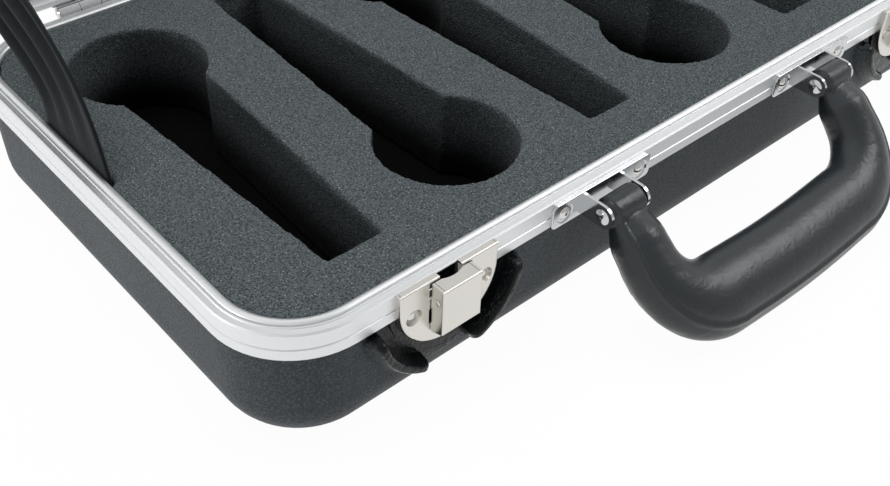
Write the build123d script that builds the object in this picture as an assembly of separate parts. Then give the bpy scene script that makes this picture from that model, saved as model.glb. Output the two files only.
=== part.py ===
"""Microphone case: moulded shells, aluminium rims, lever latches, swing handle, cut foam.

Millimetres. X runs along the case, -Y is the front with latches and handle, +Z is up.
The origin is the centre of the flat face under the base. The lid stands open.
Lid pieces are drawn in the closed place and then swung open about the hinge line.
Places on the front and back walls are given as "out", the distance out of the rim's
face, and "drop", the distance from the rim's flat face towards the closed end.
"""

import os
from math import cos, pi, sin

from build123d import *

# ---- driving dimensions: overall -------------------------------------------------------
FOAM_HALF_X = 204.0  # half the foam's length, which fills the base's opening
FOAM_HALF_Y = 103.5  # half the foam's width
FOAM_CORNER = 26.0  # plan radius of the foam's corners
RIM_WIDTH = 6.9  # foam edge to the outer face of the aluminium rim
BASE_HEIGHT = 58.0  # resting face to the rim's flat face, level with the foam
LID_HEIGHT = 42.0  # lid rim's flat face to the top of the lid
RIM_GAP = 0.3  # between the two rims when the case is shut
LID_OPEN_ANGLE = 105.0  # where the stays hold the open lid

# ---- moulded shells --------------------------------------------------------------------
WALL = 3.0
WALL_OFFSET = 6.2  # foam edge to the outer wall beside the rim
DRAFT = 0.4  # degrees, the outer wall leans in towards the closed end
SHELL_EDGE_RADIUS = 20.0  # between the walls and the closed face
RIM_STEP = 0.8  # the wall steps in by this much under the rim's skirt
STEP_PLAY = 0.2  # between the skirt's lower edge and the step
PAD_MARGIN = 2.5  # moulded flat pads reach this far past the fittings

# ---- aluminium rims --------------------------------------------------------------------
SKIRT_DEPTH = 11.1
SKIRT_THICKNESS = 1.4
LEDGE_THICKNESS = 1.3
LEG_OFFSETS = (1.9, 3.1)  # leg inside the shell's wall
LEG_DEPTH = 4.0
LIP_OFFSETS = (0.3, 3.1)  # raised rounded lip beside the foam
LIP_HEIGHT = 1.5
LIP_SHOULDER = 0.7  # height where the lip's crown begins
BEAD = ((4.3, 0.0), (4.0, 0.35), (3.6, 0.35), (3.3, 0.0))  # fine line beside the lip
GROOVE_DEPTH = 0.45
GROOVE_DROPS = (6.2, 7.0)  # shadow line along the skirt
GROOVE_SLOPE = 0.25
SKIRT_BEVEL = 0.6
RABBET_DEPTH = 1.9  # the lid's rim clears the lip and the bead by this step
RABBET_OFFSET = 4.7
RIM_BUTT_GAP = 0.2  # where the bent length meets itself at the back
TONGUE_RELIEF = (5.2, 1.0)  # half width and upper drop of the cut behind each latch

# ---- foam ------------------------------------------------------------------------------
DROP_COUNT = 6
DROP_PITCH = 63.1
DROP_DEPTH = 40.0
HEAD_RADIUS = 28.0
HEAD_OFFSET = 57.85  # middle of the case to the centre of a round end
TAIL_OFFSET = 83.9  # middle of the case to the square end
NECK_HALF_WIDTH = 17.5
TAIL_HALF_WIDTH = 11.6
NECK_CORNER = 4.0
FOAM_EDGE_RADIUS = 14.0
LID_FOAM_RECESS = 6.0
FOAM_NOTCH_DEPTH = 2.6  # cut in the foam's edge for each stay

# ---- latches ---------------------------------------------------------------------------
LATCH_X = 141.2  # each side of the middle
LATCH_AXIS_DROP = 8.0  # centre of the plate's round end
LATCH_RADIUS = 21.5
PLATE_TOP_DROP = 0.1
PLATE_OUT = 2.5  # front face of the plate's tray
PLATE_SHEET = 0.8
FOLD_SLIT = 0.18  # open seam where two bent walls of a pressing meet
LATCH_RIVET_X = 15.7
LATCH_RIVET_DROP = 12.1
DIMPLE_RADIUS = 3.3
DIMPLE_SLOPE = 0.6
NOTCH_HALF_WIDTH = 4.8
WINDOW_HALF_WIDTH = 9.3
WINDOW_DROPS = (1.0, 5.0)
SLIT_INNER = 7.4
SLIT_DROPS = ((4.0, 8.0), (12.5, 19.0))
HOOK_SLOT_DROPS = (12.6, 17.0)
SIDE_PLAY = 0.4  # beside the tongue, the hook and the strike
LEVER_HALF_WIDTH = 8.6
LEVER_SHEET = 1.0
LEVER_OUTS = (2.9, 8.8)
LEVER_DROPS = (1.0, 20.4)
LEVER_HEEL_DROP = 22.6  # the side walls reach lower next to the plate
LEVER_EDGE = 0.8  # rounded front edges
LEVER_PIN_OUT = 5.6
LEVER_PIN_DROP = 7.4
LEVER_PIN_RADIUS = 1.1
LEVER_PIN_HEAD = (1.35, 0.5)  # radius and height of the domed ends
SCOOP_RADIUS = 10.0  # hollow in the back edge of the lever's top
SCOOP_OUT = 4.0
SCOOP_HALF_WIDTH = 5.2
LUG_RADIUS = 1.9
LUG_X = (6.3, 7.3)
HOOK_DROPS = (13.2, 14.4)
HOOK_OUT = 0.4
HOOK_HALF_WIDTH = 2.8
TONGUE_HALF_WIDTH = 4.3
TONGUE_OUTS = (0.2, 0.9)
TONGUE_DROP = 18.5
TONGUE_CORNER = 2.0
TONGUE_WINDOW_DROPS = (12.2, 15.7)
STRIKE_HALF_WIDTH = 17.0
STRIKE_CORNER = 5.0
STRIKE_DROPS = (0.6, 21.0)  # measured from the lid's rim
STRIKE_RIVET_X = 11.0
STRIKE_RIVET_DROP = 15.5
JOGGLE_DROP = 4.0  # the tongue leaves the strike's face below this
SPRING_RADIUS = 1.55
SPRING_WIRE = 0.25
SPRING_TURNS = 4.5
SPRING_PITCH = 0.95
SPRING_LEG = 3.6
SPRING_LEAN = 0.2  # the upper leg leans out onto the lever
GUARD_CREST = (29.6, 32.2)  # radii of the moulded arcs that shelter each latch
GUARD_FOOT = (28.6, 35.2)
GUARD_HEIGHT = 6.6
GUARD_ROOT = 4.0
GUARD_ANGLES = (10.0, 71.0)  # below the horizontal
GUARD_CREST_EDGE = 1.1
GUARD_END_EDGE = 3.4

# ---- handle ----------------------------------------------------------------------------
HANDLE_X = 65.7  # leg and bracket, each side of the middle
HANDLE_PIN_OUT = 10.3
HANDLE_PIN_DROP = 8.1
HANDLE_PIN_RADIUS = 2.2
HANDLE_ANGLE = 45.0  # below the horizontal, where the grip nears the table
HANDLE_REACH = 48.0  # pin to the middle of the bow
HANDLE_CORNER = 25.5
HANDLE_BOW_RISE = 1.4
HANDLE_PIN_HEAD = (3.1, 1.1)  # radius and height of the riveted ends
HANDLE_BORE_PLAY = 0.4  # the soft moulding stands clear of the pin
KNUCKLE_RADIUS = 6.2
KNUCKLE_HALF_WIDTH = 8.7
KNUCKLE_EDGE = 1.6
GRIP_START = 3.6  # the moulded legs grow out of the knuckles from here
NECK_LENGTH = 8.8
NECK_HALF_SIZE = (8.0, 5.0)
LEG_HALF_SIZE = (10.6, 9.6)  # across the handle, and through it
BOW_HALF_SIZE = (16.2, 11.8)
CORE_WIDTH = 10.0
CORE_THICKNESS = 3.0
CORE_EYE_RADIUS = 4.2
CORE_EYE_HALF_WIDTH = 5.0
BRACKET_HALF_LENGTH = 26.3
BRACKET_HALF_HEIGHT = 5.2
BRACKET_DROP = 7.1
BRACKET_SHEET = 1.2
BRACKET_CORNER = 2.4
BRACKET_EDGE = 0.5
BRACKET_DISH = (4.1, 0.4)  # radius and depth of the hollow round each rivet
EAR_X = (9.1, 10.3)
EAR_RADIUS = 4.8
BRACKET_RIVET_X = 20.0

# ---- hinges ----------------------------------------------------------------------------
HINGE_X = 140.0
HINGE_AXIS_OUT = 3.2
HINGE_BARREL_RADIUS = 2.8
HINGE_PIN_RADIUS = 1.5
HINGE_HALF_WIDTH = 24.0
HINGE_KNUCKLES = 5
HINGE_KNUCKLE_GAP = 0.3
HINGE_LEAF_DROP = 24.0
HINGE_LEAF_CORNER = 5.0
HINGE_SHEET = 1.2
HINGE_PLAY = 0.5  # between a barrel and the other leaf
HINGE_RIVET_X = 15.0
HINGE_RIVET_DROP = 16.5
HINGE_PIN_HEAD = (2.3, 0.8)

# ---- rivets ----------------------------------------------------------------------------
RIVET_RADIUS = 1.6
RIVET_HEAD = (2.5, 1.2)  # radius and height of the domed head
RIVET_TAIL = (2.6, 0.9)
WASHER = (4.4, 0.8)
HOLE_CLEARANCE = 0.05
RUNNING_CLEARANCE = 0.05

# ---- lid stays -------------------------------------------------------------------------
STAY_WIDTH = 46.0
STAY_THICKNESS = 1.2
STAY_X = 203.0
STAY_BULGE = 2.6  # the band stands in from the wall between its feet
STAY_Y = 19.5  # middle of the foot, from the middle of the case
STAY_FOOT = 12.0
STAY_NARROWING = 0.2  # share of the width lost to the folds half way
STAY_FOLDS = 3
STAY_FOLD_DEPTH = 2.2
STAY_STATIONS = 15
NOTCH_PLAY = 0.9  # beside a stay in the foam
# route of the slack band's middle, as distances behind its foot and above the rim
STAY_ROUTE = ((0.0, -12.0), (0.0, 3.0), (5.5, 22.0), (23.0, 35.0), (50.0, 44.0), (80.0, 63.0))
STAY_ROUTE += ((101.0, 84.0), (115.5, 90.5), (124.3, 89.3), (135.9, 86.2))

# ---- places worked out from the above --------------------------------------------------
SIDES = (-1, 1)
NAMES = {-1: "left", 1: "right"}
ON_BASE = (Align.CENTER, Align.CENTER, Align.MIN)
RIM_Y = FOAM_HALF_Y + RIM_WIDTH
WALL_INNER_OUT = WALL_OFFSET - WALL - RIM_WIDTH
LID_RIM_Z = BASE_HEIGHT + RIM_GAP
HINGE_LINE = Axis((0, RIM_Y + HINGE_AXIS_OUT, BASE_HEIGHT + RIM_GAP / 2), (1, 0, 0))
HANDLE_LINE = Axis((0, -RIM_Y - HANDLE_PIN_OUT, BASE_HEIGHT - HANDLE_PIN_DROP), (1, 0, 0))


# ---- small helpers ---------------------------------------------------------------------
def block(x_range, y_range, z_range):
    """Rectangular block between pairs of limits."""
    pairs = [sorted(pair) for pair in (x_range, y_range, z_range)]
    centre = [sum(pair) / 2 for pair in pairs]
    return Pos(*centre) * Box(*[pair[1] - pair[0] for pair in pairs])


def rod(start, end, radius):
    """Round bar between two points."""
    axis = Vector(*end) - Vector(*start)
    return extrude(Plane(origin=start, z_dir=axis) * Circle(radius), amount=axis.length)


def outline(offset):
    """The foam's plan outline, grown by an offset."""
    size = [2 * (half + offset) for half in (FOAM_HALF_X, FOAM_HALF_Y)]
    return RectangleRounded(*size, FOAM_CORNER + offset)


def slab(offset, low, high):
    """Plate of the foam's plan outline between two heights."""
    return extrude(Pos(0, 0, low) * outline(offset), amount=high - low)


def front_plane(x, out=0.0, drop=0.0):
    """Plane that faces away from the front of the base; its Y points up."""
    return Plane(origin=(x, -RIM_Y - out, BASE_HEIGHT - drop), x_dir=(1, 0, 0), z_dir=(0, -1, 0))


def on_front(x, x_range, out_range, drop_range):
    """Block at the front wall of the base, by its distances out and down."""
    y_range = [-RIM_Y - out for out in out_range]
    z_range = [BASE_HEIGHT - drop for drop in drop_range]
    return block([x + value for value in x_range], y_range, z_range)


def to_back(shape):
    """Turn a piece drawn at the front round to the back."""
    return shape.rotate(Axis.Z, 180)


def to_lid(shape):
    """Turn a piece drawn on the base over to the closed lid."""
    return shape.mirror(Plane.XY.offset(BASE_HEIGHT + RIM_GAP / 2))


def swing_open(shape):
    """Swing a piece of the closed lid to its open place."""
    return shape.rotate(HINGE_LINE, -LID_OPEN_ANGLE)


def domed_disc(radius, height):
    """Round head that stands on the XY plane."""
    ball = (radius**2 + height**2) / (2 * height)
    return extrude(Circle(radius), amount=height) & Pos(0, 0, height - ball) * Sphere(ball)


def rivet(x, out, drop, washer_below=True):
    """Domed rivet through the front wall, seated at "out" with its tail inside."""
    grip = out - WALL_INNER_OUT + (WASHER[1] if washer_below else 0)
    tail = Pos(0, 0, -grip - RIVET_TAIL[1]) * extrude(Circle(RIVET_TAIL[0]), amount=RIVET_TAIL[1])
    body = domed_disc(*RIVET_HEAD) + Pos(0, 0, -grip) * extrude(Circle(RIVET_RADIUS), amount=grip)
    return front_plane(x, out, drop) * (body + tail)


def rivet_hole(x, drop):
    """Bar that cuts a rivet's hole through everything at the front wall."""
    ends = [(x, -RIM_Y - out, BASE_HEIGHT - drop) for out in (WALL_INNER_OUT - 1, PLATE_OUT + 1)]
    return rod(*ends, RIVET_RADIUS + HOLE_CLEARANCE)


def washer(x, drop):
    """Flat ring on the inner face of the front wall."""
    ring = Circle(WASHER[0]) - Circle(RIVET_RADIUS + HOLE_CLEARANCE)
    return extrude(front_plane(x, WALL_INNER_OUT, drop) * ring, amount=-WASHER[1])


def tongue_outline(radius, top):
    """Plate outline with a half-round lower end and straight sides up to a top edge."""
    lower = Circle(radius) & Pos(0, -radius) * Rectangle(2 * radius, 2 * radius)
    return lower + Pos(0, top / 2) * Rectangle(2 * radius, top)


# ---- moulded shells --------------------------------------------------------------------
def pan(offset, depth, edge_radius, taper):
    """Tray below the XY plane with its closed end rounded."""
    body = extrude(outline(offset), amount=-depth, taper=taper)
    return fillet(body.faces().sort_by(Axis.Z)[0].edges(), edge_radius)


def moulded_shell(height, edge_drop):
    """Hollow tray below the XY plane, with a stepped edge for the rim."""
    outer = pan(WALL_OFFSET, height, SHELL_EDGE_RADIUS, DRAFT)
    inner = pan(WALL_OFFSET - WALL, height - WALL, SHELL_EDGE_RADIUS - WALL, 0)
    shell = outer - inner - slab(WALL_OFFSET + 1, -edge_drop, 1)
    step_depth = SKIRT_DEPTH + STEP_PLAY
    step = slab(WALL_OFFSET + 1, -step_depth, 1) - slab(WALL_OFFSET - RIM_STEP, -step_depth, 1)
    return shell - step


def below_rim(shape):
    """Keep what lies below the skirt of the base's rim."""
    cut = BASE_HEIGHT - SKIRT_DEPTH - STEP_PLAY
    reach = 2 * FOAM_HALF_X
    return shape - block((-reach, reach), (-reach, reach), (cut, cut + BASE_HEIGHT))


def plate_pad(x):
    """Flat moulded pad behind a latch plate, level with the rim's face."""
    shape = tongue_outline(LATCH_RADIUS + PAD_MARGIN, LATCH_AXIS_DROP)
    depth = RIM_WIDTH - WALL_OFFSET + WALL / 2
    return extrude(front_plane(x, 0, LATCH_AXIS_DROP) * shape, amount=-depth)


def guard(x):
    """Two raised arcs with rounded ends round a latch, swept about the centre of its plate."""
    section = Polyline(
        (GUARD_FOOT[0], -GUARD_ROOT),
        (GUARD_FOOT[0], 0),
        (GUARD_CREST[0], GUARD_HEIGHT),
        (GUARD_CREST[1], GUARD_HEIGHT),
        (GUARD_FOOT[1], 0),
        (GUARD_FOOT[1], -GUARD_ROOT),
        close=True,
    )
    face = make_face(Plane.XZ * section)
    sweep_angle = GUARD_ANGLES[1] - GUARD_ANGLES[0]
    wall_plane = front_plane(x, WALL_OFFSET - RIM_WIDTH, LATCH_AXIS_DROP)
    arcs = Part()
    for start in (-GUARD_ANGLES[1], 180 + GUARD_ANGLES[0]):
        arc = revolve(face.rotate(Axis.Z, start), Axis.Z, revolution_arc=sweep_angle)
        ends = arc.edges().filter_by(GeomType.LINE).group_by(Axis.Z)[-1]
        arc = fillet(ends, GUARD_END_EDGE)
        crest = arc.edges().filter_by(GeomType.CIRCLE).group_by(Axis.Z)[-1]
        arcs += fillet(crest, GUARD_CREST_EDGE)
    return wall_plane * arcs


def hinge_pad(x):
    """Flat moulded pad behind a hinge leaf, at the front; turned to the back later."""
    half = HINGE_HALF_WIDTH + PAD_MARGIN
    depth = (WALL_OFFSET - RIM_WIDTH - WALL / 2, 0)
    return on_front(x, (-half, half), depth, (0, HINGE_LEAF_DROP + PAD_MARGIN))


def make_base_shell():
    """Base moulding with latch pads and guards, hinge pads and rivet holes."""
    shell = Pos(0, 0, BASE_HEIGHT) * moulded_shell(BASE_HEIGHT, LEDGE_THICKNESS)
    raised = Part()
    for side in SIDES:
        raised += plate_pad(side * LATCH_X) + guard(side * LATCH_X)
        raised += to_back(hinge_pad(side * HINGE_X))
    shell += below_rim(raised)
    for x in latch_rivet_places():
        shell -= rivet_hole(x, LATCH_RIVET_DROP)
    for x in bracket_rivet_places():
        shell -= rivet_hole(x, BRACKET_DROP)
    for x in hinge_rivet_places():
        shell -= to_back(rivet_hole(x, HINGE_RIVET_DROP))
    return shell


def make_lid_shell():
    """Lid moulding with strike pads, hinge pads and rivet holes, drawn shut."""
    edge = RABBET_DEPTH + LEDGE_THICKNESS
    shell = Pos(0, 0, BASE_HEIGHT) * moulded_shell(LID_HEIGHT, edge)
    raised = Part()
    half = STRIKE_HALF_WIDTH + PAD_MARGIN
    depth = (WALL_OFFSET - RIM_WIDTH - WALL / 2, 0)
    for side in SIDES:
        raised += on_front(side * LATCH_X, (-half, half), depth, (0, STRIKE_DROPS[1] + PAD_MARGIN))
        raised += to_back(hinge_pad(side * HINGE_X))
    shell += below_rim(raised)
    for x in strike_rivet_places():
        shell -= rivet_hole(x, STRIKE_RIVET_DROP)
    for x in hinge_rivet_places():
        shell -= to_back(rivet_hole(x, HINGE_RIVET_DROP))
    return to_lid(shell)


# ---- aluminium rims --------------------------------------------------------------------
def skirt_points():
    """Outer side of the rim's section, from the skirt's lower edge up to the flat face."""
    outer = RIM_WIDTH
    return [
        (outer - SKIRT_THICKNESS, -SKIRT_DEPTH),
        (outer, -SKIRT_DEPTH),
        (outer, -GROOVE_DROPS[1]),
        (outer - GROOVE_DEPTH, -GROOVE_DROPS[1] + GROOVE_SLOPE),
        (outer - GROOVE_DEPTH, -GROOVE_DROPS[0] - GROOVE_SLOPE),
        (outer, -GROOVE_DROPS[0]),
        (outer, -SKIRT_BEVEL),
        (outer - SKIRT_BEVEL, 0),
    ]


def base_rim_section():
    """Rim of the base: skirt, flat face, small bead, rounded lip and inner leg."""
    low, high = LIP_OFFSETS
    inside = [(low, -LEDGE_THICKNESS), (LEG_OFFSETS[0], -LEDGE_THICKNESS)]
    inside += [(LEG_OFFSETS[0], -LEG_DEPTH), (LEG_OFFSETS[1], -LEG_DEPTH)]
    inside += [(LEG_OFFSETS[1], -LEDGE_THICKNESS), (RIM_WIDTH - SKIRT_THICKNESS, -LEDGE_THICKNESS)]
    outer_side = Polyline(*skirt_points(), *BEAD, (high, 0), (high, LIP_SHOULDER))
    lip = ThreePointArc((high, LIP_SHOULDER), ((low + high) / 2, LIP_HEIGHT), (low, LIP_SHOULDER))
    inner_side = Polyline((low, LIP_SHOULDER), *inside, skirt_points()[0])
    return make_face([outer_side, lip, inner_side])


def lid_rim_section():
    """Rim of the lid: the same skirt, with a rabbet that clears the base's lip and bead."""
    top = -RABBET_DEPTH - LEDGE_THICKNESS
    inside = [(RABBET_OFFSET, 0), (RABBET_OFFSET, -RABBET_DEPTH), (LEG_OFFSETS[0], -RABBET_DEPTH)]
    inside += [(LEG_OFFSETS[0], top - LEG_DEPTH), (LEG_OFFSETS[1], top - LEG_DEPTH)]
    inside += [(LEG_OFFSETS[1], top), (RIM_WIDTH - SKIRT_THICKNESS, top)]
    return make_face(Polyline(*skirt_points(), *inside, close=True))


def rim_path():
    """The foam's outline as an open path, broken in the middle of the back."""
    x, y, r, gap = FOAM_HALF_X, FOAM_HALF_Y, FOAM_CORNER, RIM_BUTT_GAP / 2
    corners = [(gap, y), (x, y), (x, -y), (-x, -y), (-x, y), (-gap, y)]
    return FilletPolyline(*corners, radius=r)


def sweep_rim(section):
    """Sweep a rim's section, drawn as offset and height, round the case."""
    start = Plane(origin=(RIM_BUTT_GAP / 2, FOAM_HALF_Y, 0), x_dir=(0, 1, 0), z_dir=(1, 0, 0))
    return Pos(0, 0, BASE_HEIGHT) * sweep(start * section, path=rim_path())


def make_base_rim():
    """Rim of the base, drilled for the rivets and cut away behind the latches."""
    rim = sweep_rim(base_rim_section())
    for x in bracket_rivet_places():
        rim -= rivet_hole(x, BRACKET_DROP)
    for x in latch_rivet_places():
        rim -= rivet_hole(x, LATCH_RIVET_DROP)
    half, top = TONGUE_RELIEF
    for side in SIDES:
        rim -= on_front(side * LATCH_X, (-half, half), (-SKIRT_THICKNESS, 1), (top, SKIRT_DEPTH + 1))
    return rim


# ---- foam ------------------------------------------------------------------------------
def drop_outline():
    """One microphone's hole: a round head end and a slot that tapers to the tail."""
    neck_y = -HEAD_OFFSET + (HEAD_RADIUS**2 - NECK_HALF_WIDTH**2) ** 0.5
    slope = (NECK_HALF_WIDTH - TAIL_HALF_WIDTH) / (TAIL_OFFSET - neck_y)
    start = NECK_HALF_WIDTH + slope * (neck_y + HEAD_OFFSET)
    slot = Polyline(
        (-start, -HEAD_OFFSET),
        (start, -HEAD_OFFSET),
        (TAIL_HALF_WIDTH, TAIL_OFFSET),
        (-TAIL_HALF_WIDTH, TAIL_OFFSET),
        close=True,
    )
    hole = make_face(slot) + Pos(0, -HEAD_OFFSET) * Circle(HEAD_RADIUS)
    neck = [v for v in hole.vertices() if abs(v.Y - neck_y) < 1 and abs(v.X) > 1]
    return fillet(neck, NECK_CORNER)


def stay_notch(z_range):
    """Cuts in the foam's two ends where the stays are tucked in."""
    cut = Part()
    y_range = [STAY_Y + side * (STAY_WIDTH / 2 + NOTCH_PLAY) for side in SIDES]
    for side in SIDES:
        x_range = [side * (FOAM_HALF_X - FOAM_NOTCH_DEPTH), side * (FOAM_HALF_X + 1)]
        cut += block(x_range, y_range, z_range)
    return cut


def make_foam_insert():
    """Upper foam layer with six drops, laid head to tail by turns."""
    foam = slab(0, BASE_HEIGHT - DROP_DEPTH, BASE_HEIGHT)
    for index in range(DROP_COUNT):
        x = (index - (DROP_COUNT - 1) / 2) * DROP_PITCH
        turned = Rot(0, 0, 180 if index % 2 == 0 else 0) * drop_outline()
        foam -= extrude(Pos(x, 0, 0) * turned, amount=BASE_HEIGHT + 1)
    return foam - stay_notch((BASE_HEIGHT - STAY_FOOT - 1, BASE_HEIGHT + 1))


def make_foam_floor():
    """Plain lower layer that fills the rounded bottom of the base."""
    layer = slab(0, WALL, BASE_HEIGHT - DROP_DEPTH)
    return fillet(layer.faces().sort_by(Axis.Z)[0].edges(), FOAM_EDGE_RADIUS)


def make_lid_foam():
    """Foam pad of the lid, drawn shut."""
    low = LID_RIM_Z + LID_FOAM_RECESS
    pad = slab(0, low, LID_RIM_Z + LID_HEIGHT - WALL)
    pad = fillet(pad.faces().sort_by(Axis.Z)[-1].edges(), FOAM_EDGE_RADIUS)
    return pad - stay_notch((low - 1, LID_RIM_Z + LID_FOAM_RECESS + STAY_FOOT + 1))


# ---- latches ---------------------------------------------------------------------------
def latch_rivet_places():
    """Both rivets of both latch plates, along X."""
    return [side * LATCH_X + end * LATCH_RIVET_X for side in SIDES for end in SIDES]


def strike_rivet_places():
    """Both rivets of both strikes, along X."""
    return [side * LATCH_X + end * STRIKE_RIVET_X for side in SIDES for end in SIDES]


def make_latch_plate(x):
    """Pressed tray with rivet dimples, a window, lever slits and two lugs for the pin."""
    top = LATCH_AXIS_DROP - PLATE_TOP_DROP
    shape = tongue_outline(LATCH_RADIUS, top)
    tray = extrude(front_plane(x, 0, LATCH_AXIS_DROP) * shape, amount=PLATE_OUT)
    tray = fillet(tray.faces().sort_by(Axis.Y)[0].edges(), PLATE_SHEET)
    inner = tongue_outline(LATCH_RADIUS - PLATE_SHEET, top - PLATE_SHEET)
    depth = PLATE_OUT - PLATE_SHEET
    tray -= extrude(front_plane(x, -1, LATCH_AXIS_DROP) * inner, amount=depth + 1)
    for end in SIDES:
        place = front_plane(x + end * LATCH_RIVET_X, 0, LATCH_RIVET_DROP)
        tray += place * Pos(0, 0, PLATE_OUT / 2) * Cylinder(DIMPLE_RADIUS + PLATE_SHEET, PLATE_OUT)
        dish = Cone(DIMPLE_RADIUS - DIMPLE_SLOPE, DIMPLE_RADIUS, depth, align=ON_BASE)
        tray -= place * Pos(0, 0, PLATE_SHEET) * dish
        tray -= rivet_hole(x + end * LATCH_RIVET_X, LATCH_RIVET_DROP)
    through = (-0.1, PLATE_OUT + 0.1)
    hook_half = HOOK_HALF_WIDTH + 2 * SIDE_PLAY
    tray -= on_front(x, (-NOTCH_HALF_WIDTH, NOTCH_HALF_WIDTH), through, (-1, WINDOW_DROPS[1]))
    tray -= on_front(x, (-WINDOW_HALF_WIDTH, WINDOW_HALF_WIDTH), through, WINDOW_DROPS)
    tray -= on_front(x, (-hook_half, hook_half), through, HOOK_SLOT_DROPS)
    seam = LATCH_RADIUS - PLATE_SHEET
    for side in SIDES:
        for drops in SLIT_DROPS:
            tray -= on_front(x, (side * SLIT_INNER, side * WINDOW_HALF_WIDTH), through, drops)
        seam_x = (side * seam, side * (seam - FOLD_SLIT))
        tray -= on_front(x, seam_x, (-1, depth), (0, PLATE_TOP_DROP + PLATE_SHEET))
        tray += latch_lug(x, side)
    bore = LEVER_PIN_RADIUS + HOLE_CLEARANCE / 2
    return tray - lever_pin_bar(x, LUG_X[1] + 1, bore)


def latch_lug(x, side):
    """Lug bent out of the plate, with a round end about the pin."""
    drops = (LEVER_PIN_DROP - LUG_RADIUS, LEVER_PIN_DROP + LUG_RADIUS)
    x_range = (side * LUG_X[0], side * LUG_X[1])
    arm = on_front(x, x_range, (PLATE_OUT - PLATE_SHEET, LEVER_PIN_OUT), drops)
    ends = [(x + value, *lever_pin_place()) for value in x_range]
    return arm + rod(*ends, LUG_RADIUS)


def lever_pin_place():
    """Y and Z of the lever's pin."""
    return -RIM_Y - LEVER_PIN_OUT, BASE_HEIGHT - LEVER_PIN_DROP


def lever_pin_bar(x, half_length, radius):
    """Round bar along a lever's pivot line."""
    return rod(*[(x + side * half_length, *lever_pin_place()) for side in SIDES], radius)


def make_latch_pins():
    """Pivot pins of both levers, with domed ends outside the levers' walls."""
    pins = Part()
    for side in SIDES:
        reach = LEVER_HALF_WIDTH + HOLE_CLEARANCE
        pin = lever_pin_bar(side * LATCH_X, reach, LEVER_PIN_RADIUS)
        for end in SIDES:
            place = (side * LATCH_X + end * reach, *lever_pin_place())
            plane = Plane(origin=place, x_dir=(0, 1, 0), z_dir=(end, 0, 0))
            pin += plane * domed_disc(*LEVER_PIN_HEAD)
        pins += pin
    return pins


def make_latch_lever(x):
    """Box lever: open back and bottom, hollowed top edge, and a hook for the strike."""
    near, far = LEVER_OUTS
    high, low = LEVER_DROPS
    profile = Polyline(
        (near, -high),
        (far, -high),
        (far, -low),
        (near, -LEVER_HEEL_DROP),
        close=True,
    )
    side_plane = Plane(
        origin=(x + LEVER_HALF_WIDTH, -RIM_Y, BASE_HEIGHT), x_dir=(0, -1, 0), z_dir=(-1, 0, 0)
    )
    hood = extrude(side_plane * make_face(profile), amount=2 * LEVER_HALF_WIDTH)
    hood = fillet(hood.faces().sort_by(Axis.Y)[0].edges(), LEVER_EDGE)
    half = LEVER_HALF_WIDTH - LEVER_SHEET
    inside = far - LEVER_SHEET
    hood -= on_front(x, (-half, half), (near - 1, inside), (high + LEVER_SHEET, LEVER_HEEL_DROP + 1))
    scoop_place = Pos(x, -RIM_Y - SCOOP_OUT + SCOOP_RADIUS, BASE_HEIGHT - high)
    scoop = scoop_place * Cylinder(SCOOP_RADIUS, 3 * LEVER_SHEET)
    scoop_x = (-SCOOP_HALF_WIDTH, SCOOP_HALF_WIDTH)
    hood -= scoop & on_front(x, scoop_x, (0, far), (0, high + 2 * LEVER_SHEET))
    for side in SIDES:
        seam_x = (side * half, side * (half - FOLD_SLIT))
        hood -= on_front(x, seam_x, (near - 1, inside), (0, high + LEVER_SHEET))
    hook_outs = (HOOK_OUT, far - LEVER_SHEET / 2)
    hood += on_front(x, (-HOOK_HALF_WIDTH, HOOK_HALF_WIDTH), hook_outs, HOOK_DROPS)
    bore = LEVER_PIN_RADIUS + RUNNING_CLEARANCE
    return hood - lever_pin_bar(x, LEVER_HALF_WIDTH + 1, bore)


def make_latch_spring(x):
    """Torsion spring on the lever's pin, one leg on the plate and one on the lever."""
    y, z = lever_pin_place()
    half = SPRING_TURNS * SPRING_PITCH / 2
    coil_line = Helix(pitch=SPRING_PITCH, height=2 * half, radius=SPRING_RADIUS)
    wire = Plane(origin=coil_line @ 0, z_dir=coil_line % 0) * Circle(SPRING_WIRE)
    coil = sweep(wire, path=coil_line)
    coil = Plane(origin=(x - half, y, z), x_dir=(0, -1, 0), z_dir=(1, 0, 0)) * coil
    start = (x - half, y - SPRING_RADIUS, z)
    end = (x + half, y + SPRING_RADIUS, z)
    lever_leg = rod(start, (x - half, start[1] - SPRING_LEAN, z + SPRING_LEG), SPRING_WIRE)
    plate_leg = rod(end, (x + half, -RIM_Y - PLATE_OUT - SPRING_WIRE, z - SPRING_LEG), SPRING_WIRE)
    return coil + lever_leg + plate_leg


def make_strike(x):
    """Strike plate with a joggled tongue that hangs below the lid, drawn shut."""
    half = STRIKE_HALF_WIDTH
    height = STRIKE_DROPS[1] - STRIKE_DROPS[0]
    middle = -(STRIKE_DROPS[0] + STRIKE_DROPS[1]) / 2
    shape = Pos(0, middle) * RectangleRounded(2 * half, height, STRIKE_CORNER)
    plate = extrude(front_plane(x) * shape, amount=PLATE_SHEET)
    for end in SIDES:
        plate -= rivet_hole(x + end * STRIKE_RIVET_X, STRIKE_RIVET_DROP)
    tongue_x = (-TONGUE_HALF_WIDTH, TONGUE_HALF_WIDTH)
    plate += on_front(x, tongue_x, (0, TONGUE_OUTS[1]), (STRIKE_DROPS[0], JOGGLE_DROP))
    plate = to_lid(plate)
    tongue = on_front(x, tongue_x, TONGUE_OUTS, (-RIM_GAP - 1, TONGUE_DROP))
    tongue = fillet(tongue.edges().filter_by(Axis.Y).group_by(Axis.Z)[0], TONGUE_CORNER)
    half_window = HOOK_HALF_WIDTH + SIDE_PLAY
    window = on_front(x, (-half_window, half_window), (0, PLATE_OUT), TONGUE_WINDOW_DROPS)
    return plate + (tongue - window)


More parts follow.
